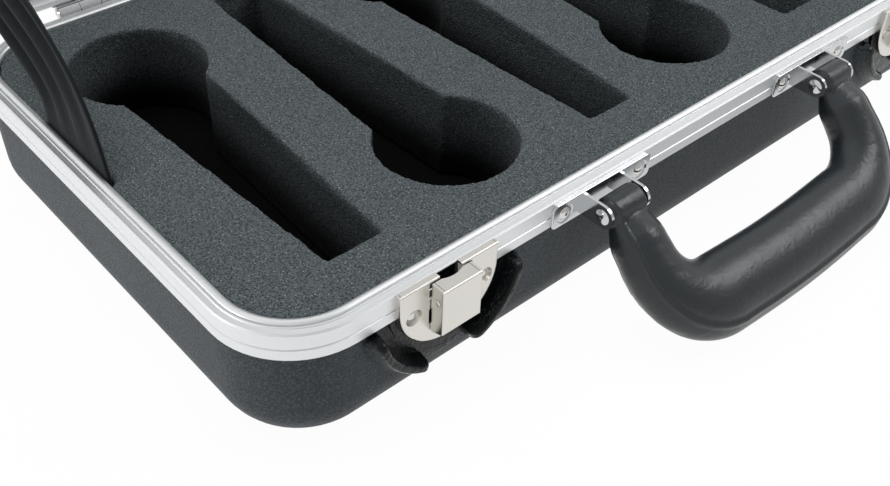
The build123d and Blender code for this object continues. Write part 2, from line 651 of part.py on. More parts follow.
# ---- handle ----------------------------------------------------------------------------
def bracket_rivet_places():
    """Both rivets of both handle brackets, along X."""
    return [side * HANDLE_X + end * BRACKET_RIVET_X for side in SIDES for end in SIDES]


def handle_pin_bar(x, half_length, radius):
    """Round bar along the handle's pivot line."""
    y, z = HANDLE_LINE.position.Y, HANDLE_LINE.position.Z
    return rod((x - half_length, y, z), (x + half_length, y, z), radius)


def make_handle_bracket(x):
    """Stamped bracket: a riveted strap with two rounded ears for the pin."""
    strap = RectangleRounded(2 * BRACKET_HALF_LENGTH, 2 * BRACKET_HALF_HEIGHT, BRACKET_CORNER)
    bracket = extrude(front_plane(x, 0, BRACKET_DROP) * strap, amount=BRACKET_SHEET)
    bracket = fillet(bracket.faces().sort_by(Axis.Y)[0].edges(), BRACKET_EDGE)
    ear_drops = (HANDLE_PIN_DROP - EAR_RADIUS, HANDLE_PIN_DROP + EAR_RADIUS)
    dish_radius, dish_depth = BRACKET_DISH
    dish = Cone(dish_radius - dish_depth, dish_radius, dish_depth, align=ON_BASE)
    for side in SIDES:
        rivet_x = x + side * BRACKET_RIVET_X
        x_range = (side * EAR_X[0], side * EAR_X[1])
        bracket += on_front(x, x_range, (0, HANDLE_PIN_OUT), ear_drops)
        y, z = HANDLE_LINE.position.Y, HANDLE_LINE.position.Z
        bracket += rod(*[(x + value, y, z) for value in x_range], EAR_RADIUS)
        bracket -= front_plane(rivet_x, BRACKET_SHEET - dish_depth, BRACKET_DROP) * dish
        bracket -= rivet_hole(rivet_x, BRACKET_DROP)
    return bracket - handle_pin_bar(x, EAR_X[1] + 1, HANDLE_PIN_RADIUS + HOLE_CLEARANCE / 2)


def make_handle_pins():
    """Pins of the handle, riveted over outside the ears."""
    pins = Part()
    for side in SIDES:
        pin = handle_pin_bar(side * HANDLE_X, EAR_X[1], HANDLE_PIN_RADIUS)
        for end in SIDES:
            place = (side * HANDLE_X + end * EAR_X[1], *tuple(HANDLE_LINE.position)[1:])
            plane = Plane(origin=place, x_dir=(0, 1, 0), z_dir=(end, 0, 0))
            pin += plane * domed_disc(*HANDLE_PIN_HEAD)
        pins += pin
    return pins


def place_handle(shape):
    """Move a piece drawn flat, pin line on the X axis and bow to -Y, to its lowered place."""
    x, y, z = HANDLE_LINE.position
    return Pos(x, y, z) * Rot(HANDLE_ANGLE, 0, 0) * shape


def grip_station(length):
    """Centre, turn and half sizes of the grip, a distance along its left half."""
    leg = HANDLE_REACH - HANDLE_CORNER
    bend = HANDLE_CORNER * pi / 2
    bow = HANDLE_X - HANDLE_CORNER
    share = min(max((length - leg / 2) / (leg / 2 + bend), 0), 1)
    swell = share * share * (3 - 2 * share)
    neck = min((length - GRIP_START) / NECK_LENGTH, 1)
    leg_size = [a + (b - a) * neck for a, b in zip(NECK_HALF_SIZE, LEG_HALF_SIZE)]
    size = [a + (b - a) * swell for a, b in zip(leg_size, BOW_HALF_SIZE)]
    if length <= leg:
        return -HANDLE_X, -length, 0.0, size
    if length <= leg + bend:
        turn = (length - leg) / HANDLE_CORNER
        x = -HANDLE_X + HANDLE_CORNER * (1 - cos(turn))
        return x, -leg - HANDLE_CORNER * sin(turn), turn, size
    along = (length - leg - bend) / bow
    rise = HANDLE_BOW_RISE * sin(along * pi / 2)
    return -bow * (1 - along), -HANDLE_REACH - rise, pi / 2, size


def grip_stations():
    """Every station of the grip from the left knuckle round to the right one."""
    leg = HANDLE_REACH - HANDLE_CORNER
    bend = HANDLE_CORNER * pi / 2
    bow = HANDLE_X - HANDLE_CORNER
    lengths = [GRIP_START + (leg - GRIP_START) * step / 3 for step in range(3)]
    lengths += [leg + bend * step / 5 for step in range(6)]
    lengths += [leg + bend + bow * step / 2 for step in (1, 2)]
    left = [grip_station(length) for length in lengths]
    return left + [(-x, y, pi - turn, size) for x, y, turn, size in reversed(left[:-1])]


def make_handle_grip():
    """Moulded grip with round knuckles, hollow where the core runs and bored for the pins."""
    sections = []
    for x, y, turn, size in grip_stations():
        across = (cos(turn), sin(turn), 0)
        along = (sin(turn), -cos(turn), 0)
        sections.append(Plane(origin=(x, y, 0), x_dir=across, z_dir=along) * Ellipse(*size))
    grip = loft(sections)
    bar = Rot(0, 90, 0) * Cylinder(KNUCKLE_RADIUS, 2 * KNUCKLE_HALF_WIDTH)
    knuckle = fillet(bar.edges().filter_by(GeomType.CIRCLE), KNUCKLE_EDGE)
    bore = Rot(0, 90, 0) * Cylinder(HANDLE_PIN_RADIUS + HANDLE_BORE_PLAY, 2 * KNUCKLE_HALF_WIDTH + 2)
    for side in SIDES:
        grip += Pos(side * HANDLE_X, 0, 0) * knuckle
    for side in SIDES:
        grip -= Pos(side * HANDLE_X, 0, 0) * bore
    return place_handle(grip - core_shape(solid_eyes=True))


def core_shape(solid_eyes):
    """Stamped steel bow with a tube eye at each end, drawn flat."""
    bands = []
    for grow in (CORE_WIDTH / 2, -CORE_WIDTH / 2):
        half_x = HANDLE_X + grow
        reach = HANDLE_REACH + grow
        band = RectangleRounded(2 * half_x, 2 * reach, HANDLE_CORNER + grow)
        bands.append(band)
    upper_half = Pos(0, HANDLE_X) * Rectangle(4 * HANDLE_X, 2 * HANDLE_X)
    bow = extrude(bands[0] - bands[1] - upper_half, amount=CORE_THICKNESS / 2, both=True)
    for side in SIDES:
        eye = Rot(0, 90, 0) * Cylinder(CORE_EYE_RADIUS, 2 * CORE_EYE_HALF_WIDTH)
        bow += Pos(side * HANDLE_X, 0, 0) * eye
        if not solid_eyes:
            bore_length = 2 * CORE_EYE_HALF_WIDTH + 2
            bore = Rot(0, 90, 0) * Cylinder(HANDLE_PIN_RADIUS + RUNNING_CLEARANCE, bore_length)
            bow -= Pos(side * HANDLE_X, 0, 0) * bore
    return bow


# ---- hinges ----------------------------------------------------------------------------
def hinge_rivet_places():
    """Both rivets of both hinges, along X."""
    return [side * HINGE_X + end * HINGE_RIVET_X for side in SIDES for end in SIDES]


def knuckle_ranges(first):
    """X limits of every second knuckle of a hinge, from its middle."""
    width = 2 * HINGE_HALF_WIDTH / HINGE_KNUCKLES
    gap = HINGE_KNUCKLE_GAP / 2
    starts = [-HINGE_HALF_WIDTH + index * width for index in range(first, HINGE_KNUCKLES, 2)]
    return [(start + gap, start + width - gap) for start in starts]


def make_hinge_leaf(x, first):
    """Leaf of a butt hinge on the base's back wall, with every second knuckle."""
    axis_drop = -RIM_GAP / 2
    clear = HINGE_BARREL_RADIUS + HINGE_PLAY
    leaf_x = (-HINGE_HALF_WIDTH, HINGE_HALF_WIDTH)
    plate = on_front(x, leaf_x, (0, HINGE_SHEET), (axis_drop + clear, HINGE_LEAF_DROP))
    plate = fillet(plate.edges().filter_by(Axis.Y).group_by(Axis.Z)[0], HINGE_LEAF_CORNER)
    bars = Part()
    for low, high in knuckle_ranges(first):
        plate += on_front(x, (low, high), (0, HINGE_SHEET), (axis_drop, axis_drop + clear + 1))
        y, z = -RIM_Y - HINGE_AXIS_OUT, BASE_HEIGHT - axis_drop
        plate += rod((x + low, y, z), (x + high, y, z), HINGE_BARREL_RADIUS)
        bars += rod((x + low - 1, y, z), (x + high + 1, y, z), HINGE_PIN_RADIUS + RUNNING_CLEARANCE)
    plate -= bars
    for end in SIDES:
        plate -= rivet_hole(x + end * HINGE_RIVET_X, HINGE_RIVET_DROP)
    return to_back(plate)


def make_hinge_pins():
    """Pins of both hinges, with a flattened head at each end."""
    y, z = HINGE_LINE.position.Y, HINGE_LINE.position.Z
    pins = Part()
    for side in SIDES:
        ends = [(side * HINGE_X + end * HINGE_HALF_WIDTH, y, z) for end in SIDES]
        pin = rod(*ends, HINGE_PIN_RADIUS)
        for place, end in zip(ends, SIDES):
            plane = Plane(origin=place, x_dir=(0, 1, 0), z_dir=(end, 0, 0))
            pin += plane * domed_disc(*HINGE_PIN_HEAD)
        pins += pin
    return pins


# ---- lid stays -------------------------------------------------------------------------
def stay_section(route, share, side):
    """Folded cross-section of a stay, a share of the way along its route."""
    centre = route @ share
    direction = route % share
    foot = (STAY_FOOT + 2) / route.length
    slack = sin(pi * min(max((share - foot) / (1 - 2 * foot), 0), 1))
    half = STAY_WIDTH / 2 * (1 - STAY_NARROWING * slack)
    middle_x = side * (STAY_X - STAY_BULGE * slack)
    steps = 4 * STAY_FOLDS
    points = []
    for index in range(steps + 1):
        across = 2 * index / steps - 1
        fold = STAY_FOLD_DEPTH * slack * cos(pi * STAY_FOLDS * (across + 1))
        y = centre.Y - direction.Z * across * half
        z = centre.Z + direction.Y * across * half
        points.append((middle_x + side * fold, y, z))
    front = [(x + STAY_THICKNESS / 2, y, z) for x, y, z in points]
    back = [(x - STAY_THICKNESS / 2, y, z) for x, y, z in reversed(points)]
    return make_face(Polyline(*front, *back, close=True))


def make_lid_stay(side):
    """Slack fabric band from the base to the open lid, with its lengthwise folds."""
    points = [Vector(0, STAY_Y + behind, BASE_HEIGHT + above) for behind, above in STAY_ROUTE]
    ends = [points[1] - points[0], points[-1] - points[-2]]
    slack_run = Spline(*points[1:-1], tangents=ends)
    route = Wire([Line(*points[:2]), slack_run, Line(*points[-2:])])
    sections = [
        stay_section(route, index / (STAY_STATIONS - 1), side) for index in range(STAY_STATIONS)
    ]
    return loft(sections, ruled=True)


# ---- the assembly ----------------------------------------------------------------------
def group(shapes):
    """Separate solids kept together as one node."""
    return Compound(children=[solid for shape in shapes for solid in shape.solids()])


def build_parts():
    """Every named node of the case."""
    parts = {
        "base_shell": make_base_shell(),
        "base_rim": make_base_rim(),
        "foam_floor": make_foam_floor(),
        "foam_insert": make_foam_insert(),
        "latch_pins": make_latch_pins(),
        "handle_pins": make_handle_pins(),
        "handle_grip": make_handle_grip(),
        "handle_core": place_handle(core_shape(solid_eyes=False)),
        "hinge_pins": make_hinge_pins(),
        "lid_shell": swing_open(make_lid_shell()),
        "lid_rim": swing_open(to_lid(sweep_rim(lid_rim_section()))),
        "lid_foam": swing_open(make_lid_foam()),
    }
    for side, name in NAMES.items():
        parts[f"latch_plate_{name}"] = make_latch_plate(side * LATCH_X)
        parts[f"latch_lever_{name}"] = make_latch_lever(side * LATCH_X)
        parts[f"latch_spring_{name}"] = make_latch_spring(side * LATCH_X)
        parts[f"strike_{name}"] = swing_open(make_strike(side * LATCH_X))
        parts[f"handle_bracket_{name}"] = make_handle_bracket(side * HANDLE_X)
        # the leaves are drawn at the front and turned to the back, which swaps the sides
        parts[f"hinge_leaf_base_{name}"] = make_hinge_leaf(-side * HINGE_X, 0)
        parts[f"hinge_leaf_lid_{name}"] = swing_open(to_lid(make_hinge_leaf(-side * HINGE_X, 1)))
        parts[f"lid_stay_{name}"] = make_lid_stay(side)
    bracket_seat = BRACKET_SHEET - BRACKET_DISH[1]
    latch = [rivet(x, PLATE_SHEET, LATCH_RIVET_DROP) for x in latch_rivet_places()]
    bracket = [rivet(x, bracket_seat, BRACKET_DROP, False) for x in bracket_rivet_places()]
    hinge = [to_back(rivet(x, HINGE_SHEET, HINGE_RIVET_DROP)) for x in hinge_rivet_places()]
    strike = [rivet(x, PLATE_SHEET, STRIKE_RIVET_DROP) for x in strike_rivet_places()]
    latch_washers = [washer(x, LATCH_RIVET_DROP) for x in latch_rivet_places()]
    hinge_washers = [to_back(washer(x, HINGE_RIVET_DROP)) for x in hinge_rivet_places()]
    strike_washers = [washer(x, STRIKE_RIVET_DROP) for x in strike_rivet_places()]
    parts["latch_rivets"] = group(latch)
    parts["bracket_rivets"] = group(bracket)
    parts["hinge_rivets_base"] = group(hinge)
    parts["rivet_washers_base"] = group(latch_washers + hinge_washers)
    parts["strike_rivets"] = group([swing_open(to_lid(one)) for one in strike])
    parts["hinge_rivets_lid"] = group([swing_open(to_lid(one)) for one in hinge])
    lid_washers = strike_washers + hinge_washers
    parts["rivet_washers_lid"] = group([swing_open(to_lid(one)) for one in lid_washers])
    return parts


if __name__ == "__main__":
    os.makedirs("parts", exist_ok=True)
    for node, shape in build_parts().items():
        export_step(shape, f"parts/{node}.step")
        box = shape.bounding_box()
        low, high = [[round(v, 1) for v in end] for end in (box.min, box.max)]
        print(node, len(shape.solids()), round(shape.volume), low, high)
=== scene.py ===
"""Looks of an open microphone case: moulded shells, aluminium rims, latches, handle and foam.

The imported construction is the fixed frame. Rigid metal and moulded pieces keep their own meshes
and get a finish here; foam, the soft grip and the cloth stays are modelled as new meshes in the
same places. Lengths are metres; values that end in _mm are millimetres.
"""

import logging
import math
from collections.abc import Callable
from dataclasses import dataclass
from enum import Enum

import bmesh
import bpy
import numpy as np
from mathutils import Matrix, Vector, noise


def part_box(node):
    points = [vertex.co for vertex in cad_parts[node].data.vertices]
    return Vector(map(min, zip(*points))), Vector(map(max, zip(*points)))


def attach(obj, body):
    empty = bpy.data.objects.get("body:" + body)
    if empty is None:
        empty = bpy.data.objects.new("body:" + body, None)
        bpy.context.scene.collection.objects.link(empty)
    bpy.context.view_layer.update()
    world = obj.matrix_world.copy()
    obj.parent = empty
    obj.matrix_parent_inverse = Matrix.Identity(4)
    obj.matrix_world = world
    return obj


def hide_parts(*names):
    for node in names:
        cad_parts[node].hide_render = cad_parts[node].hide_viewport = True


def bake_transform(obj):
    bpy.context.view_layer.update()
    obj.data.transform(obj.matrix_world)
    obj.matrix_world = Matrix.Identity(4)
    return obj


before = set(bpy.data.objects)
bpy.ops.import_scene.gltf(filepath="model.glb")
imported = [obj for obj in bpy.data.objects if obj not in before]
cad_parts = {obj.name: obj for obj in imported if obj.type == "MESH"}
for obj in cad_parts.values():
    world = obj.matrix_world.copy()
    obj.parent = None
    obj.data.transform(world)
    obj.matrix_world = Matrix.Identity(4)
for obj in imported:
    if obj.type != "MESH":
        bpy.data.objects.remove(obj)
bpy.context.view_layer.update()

logging.basicConfig(level=logging.INFO, format="%(message)s")
log = logging.getLogger("microphone_case")

MM = 0.001

Point = tuple[float, float, float]
Outline = list[tuple[float, float]]
Face = tuple[int, ...]
Waves = tuple[tuple[float, float], ...]
Station = tuple[float, float, float, tuple[float, float]]
Piece = bpy.types.Object
Tree = bpy.types.NodeTree
Node = bpy.types.Node
Socket = bpy.types.NodeSocket
Material = bpy.types.Material


# ---- shared helpers ----
def linear(hex_colour: str) -> tuple[float, float, float, float]:
    """Turn an sRGB hex colour into the linear values that shaders use.

    Args:
        hex_colour: Six hex digits.

    Returns:
        Red, green, blue and an alpha of 1.
    """
    values = [int(hex_colour[start : start + 2], 16) / 255 for start in (0, 2, 4)]
    out = [v / 12.92 if v <= 0.04045 else ((v + 0.055) / 1.055) ** 2.4 for v in values]
    return (*out, 1.0)


def per_metre(feature_mm: float) -> float:
    """Texture scale that gives a pattern features of a real size, on metre coordinates."""
    return 1.0 / (feature_mm * MM)


def add_node(tree: Tree, kind: str, links: dict | None = None, **settings: object) -> Node:
    """Add a shader node, set it up and link it.

    Args:
        tree: The node tree that gets the node.
        kind: Blender's identifier of the node type.
        links: Input name or index to an output socket, or to a plain value.
        **settings: Attributes of the node itself.

    Returns:
        The new node.
    """
    node = tree.nodes.new(kind)
    for name, value in settings.items():
        setattr(node, name, value)
    for socket, source in (links or {}).items():
        if isinstance(source, Socket):
            tree.links.new(source, node.inputs[socket])
        else:
            node.inputs[socket].default_value = source
    return node


def placed(name: str, data: bpy.types.ID) -> Piece:
    """Put data into the scene as a new object.

    Args:
        name: Name of the object.
        data: Mesh, curve, light or camera.

    Returns:
        The linked object.
    """
    thing = bpy.data.objects.new(name, data)
    bpy.context.scene.collection.objects.link(thing)
    return thing


def mesh_object(name: str, vertices: np.ndarray, faces: list[Face]) -> Piece:
    """Make a smooth mesh object from points and faces.

    Args:
        name: Name of the piece.
        vertices: Points in the case's frame.
        faces: Vertex indices of each face.

    Returns:
        The linked object.
    """
    mesh = bpy.data.meshes.new(name)
    mesh.from_pydata([tuple(v) for v in vertices], [], faces)
    mesh.update()
    mesh.shade_smooth()
    return placed(name, mesh)


def apply_modifiers(piece: Piece) -> Piece:
    """Replace an object's data with its evaluated mesh and drop the modifiers.

    Args:
        piece: A mesh or curve object.

    Returns:
        A mesh object of the same name.
    """
    graph = bpy.context.evaluated_depsgraph_get()
    mesh = bpy.data.meshes.new_from_object(piece.evaluated_get(graph))
    name = piece.name
    bpy.data.objects.remove(piece)
    return placed(name, mesh)


def voxel_skin(piece: Piece, voxel_mm: float, smooth_steps: int) -> Piece:
    """Give a closed piece one even skin, so that its edges soften as cut or moulded ones do.

    Args:
        piece: A closed mesh, which may overlap itself.
        voxel_mm: Size of the new faces.
        smooth_steps: Rounds of smoothing after the new skin.

    Returns:
        The piece with its new mesh.
    """
    remesh = piece.modifiers.new("skin", "REMESH")
    remesh.mode = "VOXEL"
    remesh.voxel_size = voxel_mm * MM
    remesh.use_smooth_shade = True
    soften = piece.modifiers.new("soften", "SMOOTH")
    soften.iterations = smooth_steps
    return apply_modifiers(piece)


def waviness(waves: Waves) -> Callable[[Vector], float]:
    """Uneven height made of noise waves.

    Args:
        waves: Depth in metres and waves per metre of each layer of noise.

    Returns:
        Function from a point to a height in metres.
    """
    return lambda point: sum(depth * noise.noise(point * density) for depth, density in waves)


def push_along_normals(piece: Piece, height: Callable[[Vector], float]) -> None:
    """Move each vertex along its normal by a height that depends on its place.

    Args:
        piece: The mesh object to change.
        height: Function of a point that gives a distance in metres.
    """
    mesh = piece.data
    normals = np.zeros(len(mesh.vertices) * 3, np.float32)
    mesh.vertex_normals.foreach_get("vector", normals)
    points = np.array([v.co for v in mesh.vertices])
    heights = np.array([height(Vector(p)) for p in points])
    mesh.vertices.foreach_set("co", (points + normals.reshape(-1, 3) * heights[:, None]).ravel())
    mesh.update()


def smooth_step(value: float, low: float, high: float) -> float:
    """Smooth step from 0 at low to 1 at high."""
    share = min(max((value - low) / (high - low), 0.0), 1.0)
    return share * share * (3 - 2 * share)


# ---- finishes ----
@dataclass(frozen=True)
class Finish:
    """A surface finish: what the real material is and how it shades.

    Each subclass adds its own pattern. The IOR stays at its default, 1.5, as plastics have.
    """

    name: str
    colour: str
    roughness: float
    metallic: float = 0.0
    specular: float = 0.5

    def start(self) -> tuple[Material, Tree, Node, Socket]:
        """Make the material and its main shader.

        Returns:
            The material, its tree, the main shader and the object coordinates in metres.
        """
        material = bpy.data.materials.new(self.name)
        material.use_nodes = True
        tree = material.node_tree
        shader = tree.nodes["Principled BSDF"]
        shader.inputs["Base Color"].default_value = linear(self.colour)
        shader.inputs["Roughness"].default_value = self.roughness
        shader.inputs["Metallic"].default_value = self.metallic
        shader.inputs["Specular IOR Level"].default_value = self.specular
        place = add_node(tree, "ShaderNodeTexCoord").outputs["Object"]
        return material, tree, shader, place

    def make(self) -> Material:
        """Build the material."""
        raise NotImplementedError


@dataclass(frozen=True)
class PebbledPlastic(Finish):
    """Moulded ABS with a pebbled tool texture, crinkled and glossy round the latches.

    The pebbles break the highlight into fine grains, and their crests carry a painted highlight,
    a lighter colour. The polished part of the mould round each latch stays near black, with glints.
    """

    grain_mm: float = 0.9
    grain_depth_mm: float = 0.2
    grit_mm: float = 0.72
    pebble_highlight_range: tuple[float, float] = (1.0, 0.55)
    pebble_highlight_colour: str = "53595e"
    cloud_mm: float = 45.0
    cloud_spread: float = 0.05
    gloss_colour: str = "121517"
    gloss_roughness: float = 0.12
    gloss_relief: float = 0.5
    gloss_centres: tuple[Point, Point] = ((-0.1412, -0.1104, 0.050), (0.1412, -0.1104, 0.050))
    gloss_radius_mm: float = 34.0
    gloss_edge_mm: float = 2.0
    gloss_stretch: Point = (1, 0.7, 1)
    crinkle_mm: float = 3.2
    crinkle_depth_mm: float = 0.45

    def make(self) -> Material:
        """Build the plastic with its two mould finishes.

        Returns:
            The material.
        """
        material, tree, shader, place = self.start()
        gloss = self.gloss_mask(tree, place)
        pebbles = add_node(tree, "ShaderNodeTexVoronoi", {
            "Vector": place, "Scale": per_metre(self.grain_mm)}, feature="SMOOTH_F1")
        grit = add_node(tree, "ShaderNodeTexNoise", {
            "Vector": place, "Scale": per_metre(self.grit_mm), "Detail": 3.0})
        height = add_node(tree, "ShaderNodeMath", {
            0: pebbles.outputs["Distance"], 1: grit.outputs["Fac"]}, operation="ADD").outputs[0]
        cloud = add_node(tree, "ShaderNodeTexNoise", {
            "Vector": place, "Scale": per_metre(self.cloud_mm), "Detail": 2.0})
        dull = add_node(tree, "ShaderNodeMapRange", {
            "Value": cloud.outputs["Fac"], "To Min": self.roughness - self.cloud_spread,
            "To Max": self.roughness + self.cloud_spread})
        roughness = add_node(tree, "ShaderNodeMix", {
            "Factor": gloss, "A": dull.outputs["Result"], "B": self.gloss_roughness})
        # painted highlight: the crests of the pebbles get a lighter colour in place of their glints
        crest = add_node(tree, "ShaderNodeMapRange", {
            "Value": height, "From Min": self.pebble_highlight_range[0], "From Max": self.pebble_highlight_range[1]})
        skin = add_node(tree, "ShaderNodeMix", {
            "Factor": crest.outputs["Result"], "A": linear(self.colour),
            "B": linear(self.pebble_highlight_colour)}, data_type="RGBA")
        tone = add_node(tree, "ShaderNodeMix", {
            "Factor": gloss, "A": skin.outputs["Result"], "B": linear(self.gloss_colour)},
            data_type="RGBA")
        tree.links.new(roughness.outputs["Result"], shader.inputs["Roughness"])
        tree.links.new(tone.outputs["Result"], shader.inputs["Base Color"])
        crinkles = add_node(tree, "ShaderNodeTexNoise", {
            "Vector": place, "Scale": per_metre(self.crinkle_mm), "Detail": 4.0, "Distortion": 0.8})
        folds = add_node(tree, "ShaderNodeBump", {
            "Height": crinkles.outputs["Fac"], "Distance": self.crinkle_depth_mm * MM,
            "Strength": gloss})
        pebble_strength = add_node(tree, "ShaderNodeMapRange", {
            "Value": gloss, "To Min": 1.0, "To Max": self.gloss_relief})
        relief = add_node(tree, "ShaderNodeBump", {
            "Height": height, "Distance": self.grain_depth_mm * MM,
            "Strength": pebble_strength.outputs["Result"], "Normal": folds.outputs["Normal"]})
        tree.links.new(relief.outputs["Normal"], shader.inputs["Normal"])
        return material

    def gloss_mask(self, tree: Tree, place: Socket) -> Socket:
        """Mask of the polished part of the mould.

        Args:
            tree: The node tree of the plastic.
            place: Object coordinates in metres.

        Returns:
            A value that is 1 within a stretched ball round each latch and 0 beyond.
        """
        edge = self.gloss_radius_mm * MM
        masks: list[Socket] = []
        for centre in self.gloss_centres:
            offset = add_node(tree, "ShaderNodeVectorMath", {0: place, 1: centre}, operation="SUBTRACT")
            flat = add_node(tree, "ShaderNodeVectorMath", {0: offset.outputs[0], 1: self.gloss_stretch},
                            operation="MULTIPLY")
            reach = add_node(tree, "ShaderNodeVectorMath", {0: flat.outputs[0]}, operation="LENGTH")
            inside = add_node(tree, "ShaderNodeMapRange", {
                "Value": reach.outputs["Value"], "From Min": edge,
                "From Max": edge - self.gloss_edge_mm * MM})
            masks.append(inside.outputs["Result"])
        left, right = masks
        return add_node(tree, "ShaderNodeMath", {0: left, 1: right}, operation="MAXIMUM").outputs[0]


@dataclass(frozen=True)
class DrawnAluminium(Finish):
    """Anodised aluminium extrusion: satin, with fine lines that run along the bar.

    The lines follow the bend of the rim because their coordinate is the distance from the
    foam's outline and the height, and not the place along the bar. Real lines are too fine to
    show, so they are drawn coarser.
    """

    half_x: float = 0.204
    half_y: float = 0.1035
    corner: float = 0.026
    line_mm: float = 0.35
    grain_mm: float = 0.5
    relief_mm: float = 0.02
    relief_strength: float = 0.35
    smoothest: float = -0.1
    roughest: float = 0.12

    def make(self) -> Material:
        """Build the aluminium with its drawing lines.

        Returns:
            The material.
        """
        material, tree, shader, place = self.start()
        across = self.offset(tree, place)
        height = add_node(tree, "ShaderNodeSeparateXYZ", {0: place}).outputs["Z"]
        line_place = add_node(tree, "ShaderNodeCombineXYZ", {"X": across, "Y": height})
        lines = add_node(tree, "ShaderNodeTexNoise", {
            "Vector": line_place.outputs[0], "Scale": per_metre(self.line_mm), "Detail": 3.0})
        grain = add_node(tree, "ShaderNodeTexNoise", {
            "Vector": place, "Scale": per_metre(self.grain_mm), "Detail": 4.0})
        satin = add_node(tree, "ShaderNodeMapRange", {
            "Value": lines.outputs["Fac"], "To Min": self.roughness + self.smoothest,
            "To Max": self.roughness + self.roughest})
        tree.links.new(satin.outputs["Result"], shader.inputs["Roughness"])
        both = add_node(tree, "ShaderNodeMath", {
            0: lines.outputs["Fac"], 1: grain.outputs["Fac"]}, operation="ADD").outputs[0]
        relief = add_node(tree, "ShaderNodeBump", {
            "Height": both, "Distance": self.relief_mm * MM, "Strength": self.relief_strength})
        tree.links.new(relief.outputs["Normal"], shader.inputs["Normal"])
        return material

    def offset(self, tree: Tree, place: Socket) -> Socket:
        """Distance from the foam's rounded outline, worked out in the shader.

        Args:
            tree: The node tree of the aluminium.
            place: Object coordinates in metres.

        Returns:
            Metres, the same all round the rim at one depth.
        """
        # the tall third side leaves height out
        size = (self.half_x - self.corner, self.half_y - self.corner, 10.0)
        folded = add_node(tree, "ShaderNodeVectorMath", {0: place}, operation="ABSOLUTE")
        past = add_node(tree, "ShaderNodeVectorMath", {0: folded.outputs[0], 1: size},
                        operation="SUBTRACT")
        corner = add_node(tree, "ShaderNodeVectorMath", {0: past.outputs[0], 1: (0, 0, 0)},
                          operation="MAXIMUM")
        length = add_node(tree, "ShaderNodeVectorMath", {0: corner.outputs[0]}, operation="LENGTH")
        return length.outputs["Value"]


@dataclass(frozen=True)
class OpenCellFoam(Finish):
    """Cut open-cell polyurethane foam: a granular face that scatters light, with no gloss.

    The cells are drawn about twice their real size so that they show in the picture. The colour
    gets darker with depth, a painted shade, so that the drops end near black.
    """

    cell_mm: float = 0.8
    grit_mm: float = 0.56
    wall_range: tuple[float, float] = (0.6, 1.15)
    pore_colour: str = "2d3133"
    speck_mm: float = 1.28
    speck_range: tuple[float, float] = (0.2, 0.08)
    speck_colour: str = "a3a9ac"
    depth_shade_colour: str = "060607"
    full_shade_z: float = 0.024
    no_shade_z: float = 0.048
    relief_mm: float = 0.4
    relief_strength: float = 0.7
    sheen: float = 0.03
    sheen_roughness: float = 0.6

    def make(self) -> Material:
        """Build the foam with its pores and its pale cell walls.

        Returns:
            The material.
        """
        material, tree, shader, place = self.start()
        cells = add_node(tree, "ShaderNodeTexVoronoi", {
            "Vector": place, "Scale": per_metre(self.cell_mm)})
        grit = add_node(tree, "ShaderNodeTexNoise", {
            "Vector": place, "Scale": per_metre(self.grit_mm), "Detail": 2.0})
        height = add_node(tree, "ShaderNodeMath", {
            0: cells.outputs["Distance"], 1: grit.outputs["Fac"]}, operation="ADD").outputs[0]
        walls = add_node(tree, "ShaderNodeMapRange", {
            "Value": height, "From Min": self.wall_range[0], "From Max": self.wall_range[1]})
        base = add_node(tree, "ShaderNodeMix", {
            "Factor": walls.outputs["Result"], "A": linear(self.pore_colour),
            "B": linear(self.colour)}, data_type="RGBA")
        specks = add_node(tree, "ShaderNodeTexVoronoi", {
            "Vector": place, "Scale": per_metre(self.speck_mm)})
        pale = add_node(tree, "ShaderNodeMapRange", {
            "Value": specks.outputs["Distance"], "From Min": self.speck_range[0],
            "From Max": self.speck_range[1]})
        speckled = add_node(tree, "ShaderNodeMix", {
            "Factor": pale.outputs["Result"], "A": base.outputs["Result"],
            "B": linear(self.speck_colour)}, data_type="RGBA")
        # painted shade: the colour darkens lower down, to near black at the floor of the drops
        level = add_node(tree, "ShaderNodeSeparateXYZ", {0: place}).outputs["Z"]
        depth = add_node(tree, "ShaderNodeMapRange", {
            "Value": level, "From Min": self.full_shade_z, "From Max": self.no_shade_z},
            interpolation_type="SMOOTHSTEP")
        tone = add_node(tree, "ShaderNodeMix", {
            "Factor": depth.outputs["Result"], "A": linear(self.depth_shade_colour),
            "B": speckled.outputs["Result"]}, data_type="RGBA")
        tree.links.new(tone.outputs["Result"], shader.inputs["Base Color"])
        relief = add_node(tree, "ShaderNodeBump", {
            "Height": height, "Distance": self.relief_mm * MM, "Strength": self.relief_strength})
        tree.links.new(relief.outputs["Normal"], shader.inputs["Normal"])
        shader.inputs["Sheen Weight"].default_value = self.sheen
        shader.inputs["Sheen Roughness"].default_value = self.sheen_roughness
        return material


@dataclass(frozen=True)
class PlatedSteel(Finish):
    """Pressed steel with a thin nickel or zinc plating: soft reflections, faint rolling marks.

    Real marks, 0.25 mm wide, are too fine to show, so they are drawn six times coarser.
    """

    mark_mm: float = 1.5
    mark_depth_mm: float = 0.012
    mark_strength: float = 0.4
    haze_mm: float = 9.0
    haze_spread: float = 0.07

    def make(self) -> Material:
        """Build the plating with its faint marks.

        Returns:
            The material.
        """
        material, tree, shader, place = self.start()
        marks = add_node(tree, "ShaderNodeTexNoise", {
            "Vector": place, "Scale": per_metre(self.mark_mm), "Detail": 5.0, "Roughness": 0.65})
        haze = add_node(tree, "ShaderNodeTexNoise", {
            "Vector": place, "Scale": per_metre(self.haze_mm), "Detail": 2.0})
        roughness = add_node(tree, "ShaderNodeMapRange", {
            "Value": haze.outputs["Fac"], "To Min": self.roughness - self.haze_spread,
            "To Max": self.roughness + self.haze_spread})
        tree.links.new(roughness.outputs["Result"], shader.inputs["Roughness"])
        relief = add_node(tree, "ShaderNodeBump", {
            "Height": marks.outputs["Fac"], "Distance": self.mark_depth_mm * MM,
            "Strength": self.mark_strength})
        tree.links.new(relief.outputs["Normal"], shader.inputs["Normal"])
        return material


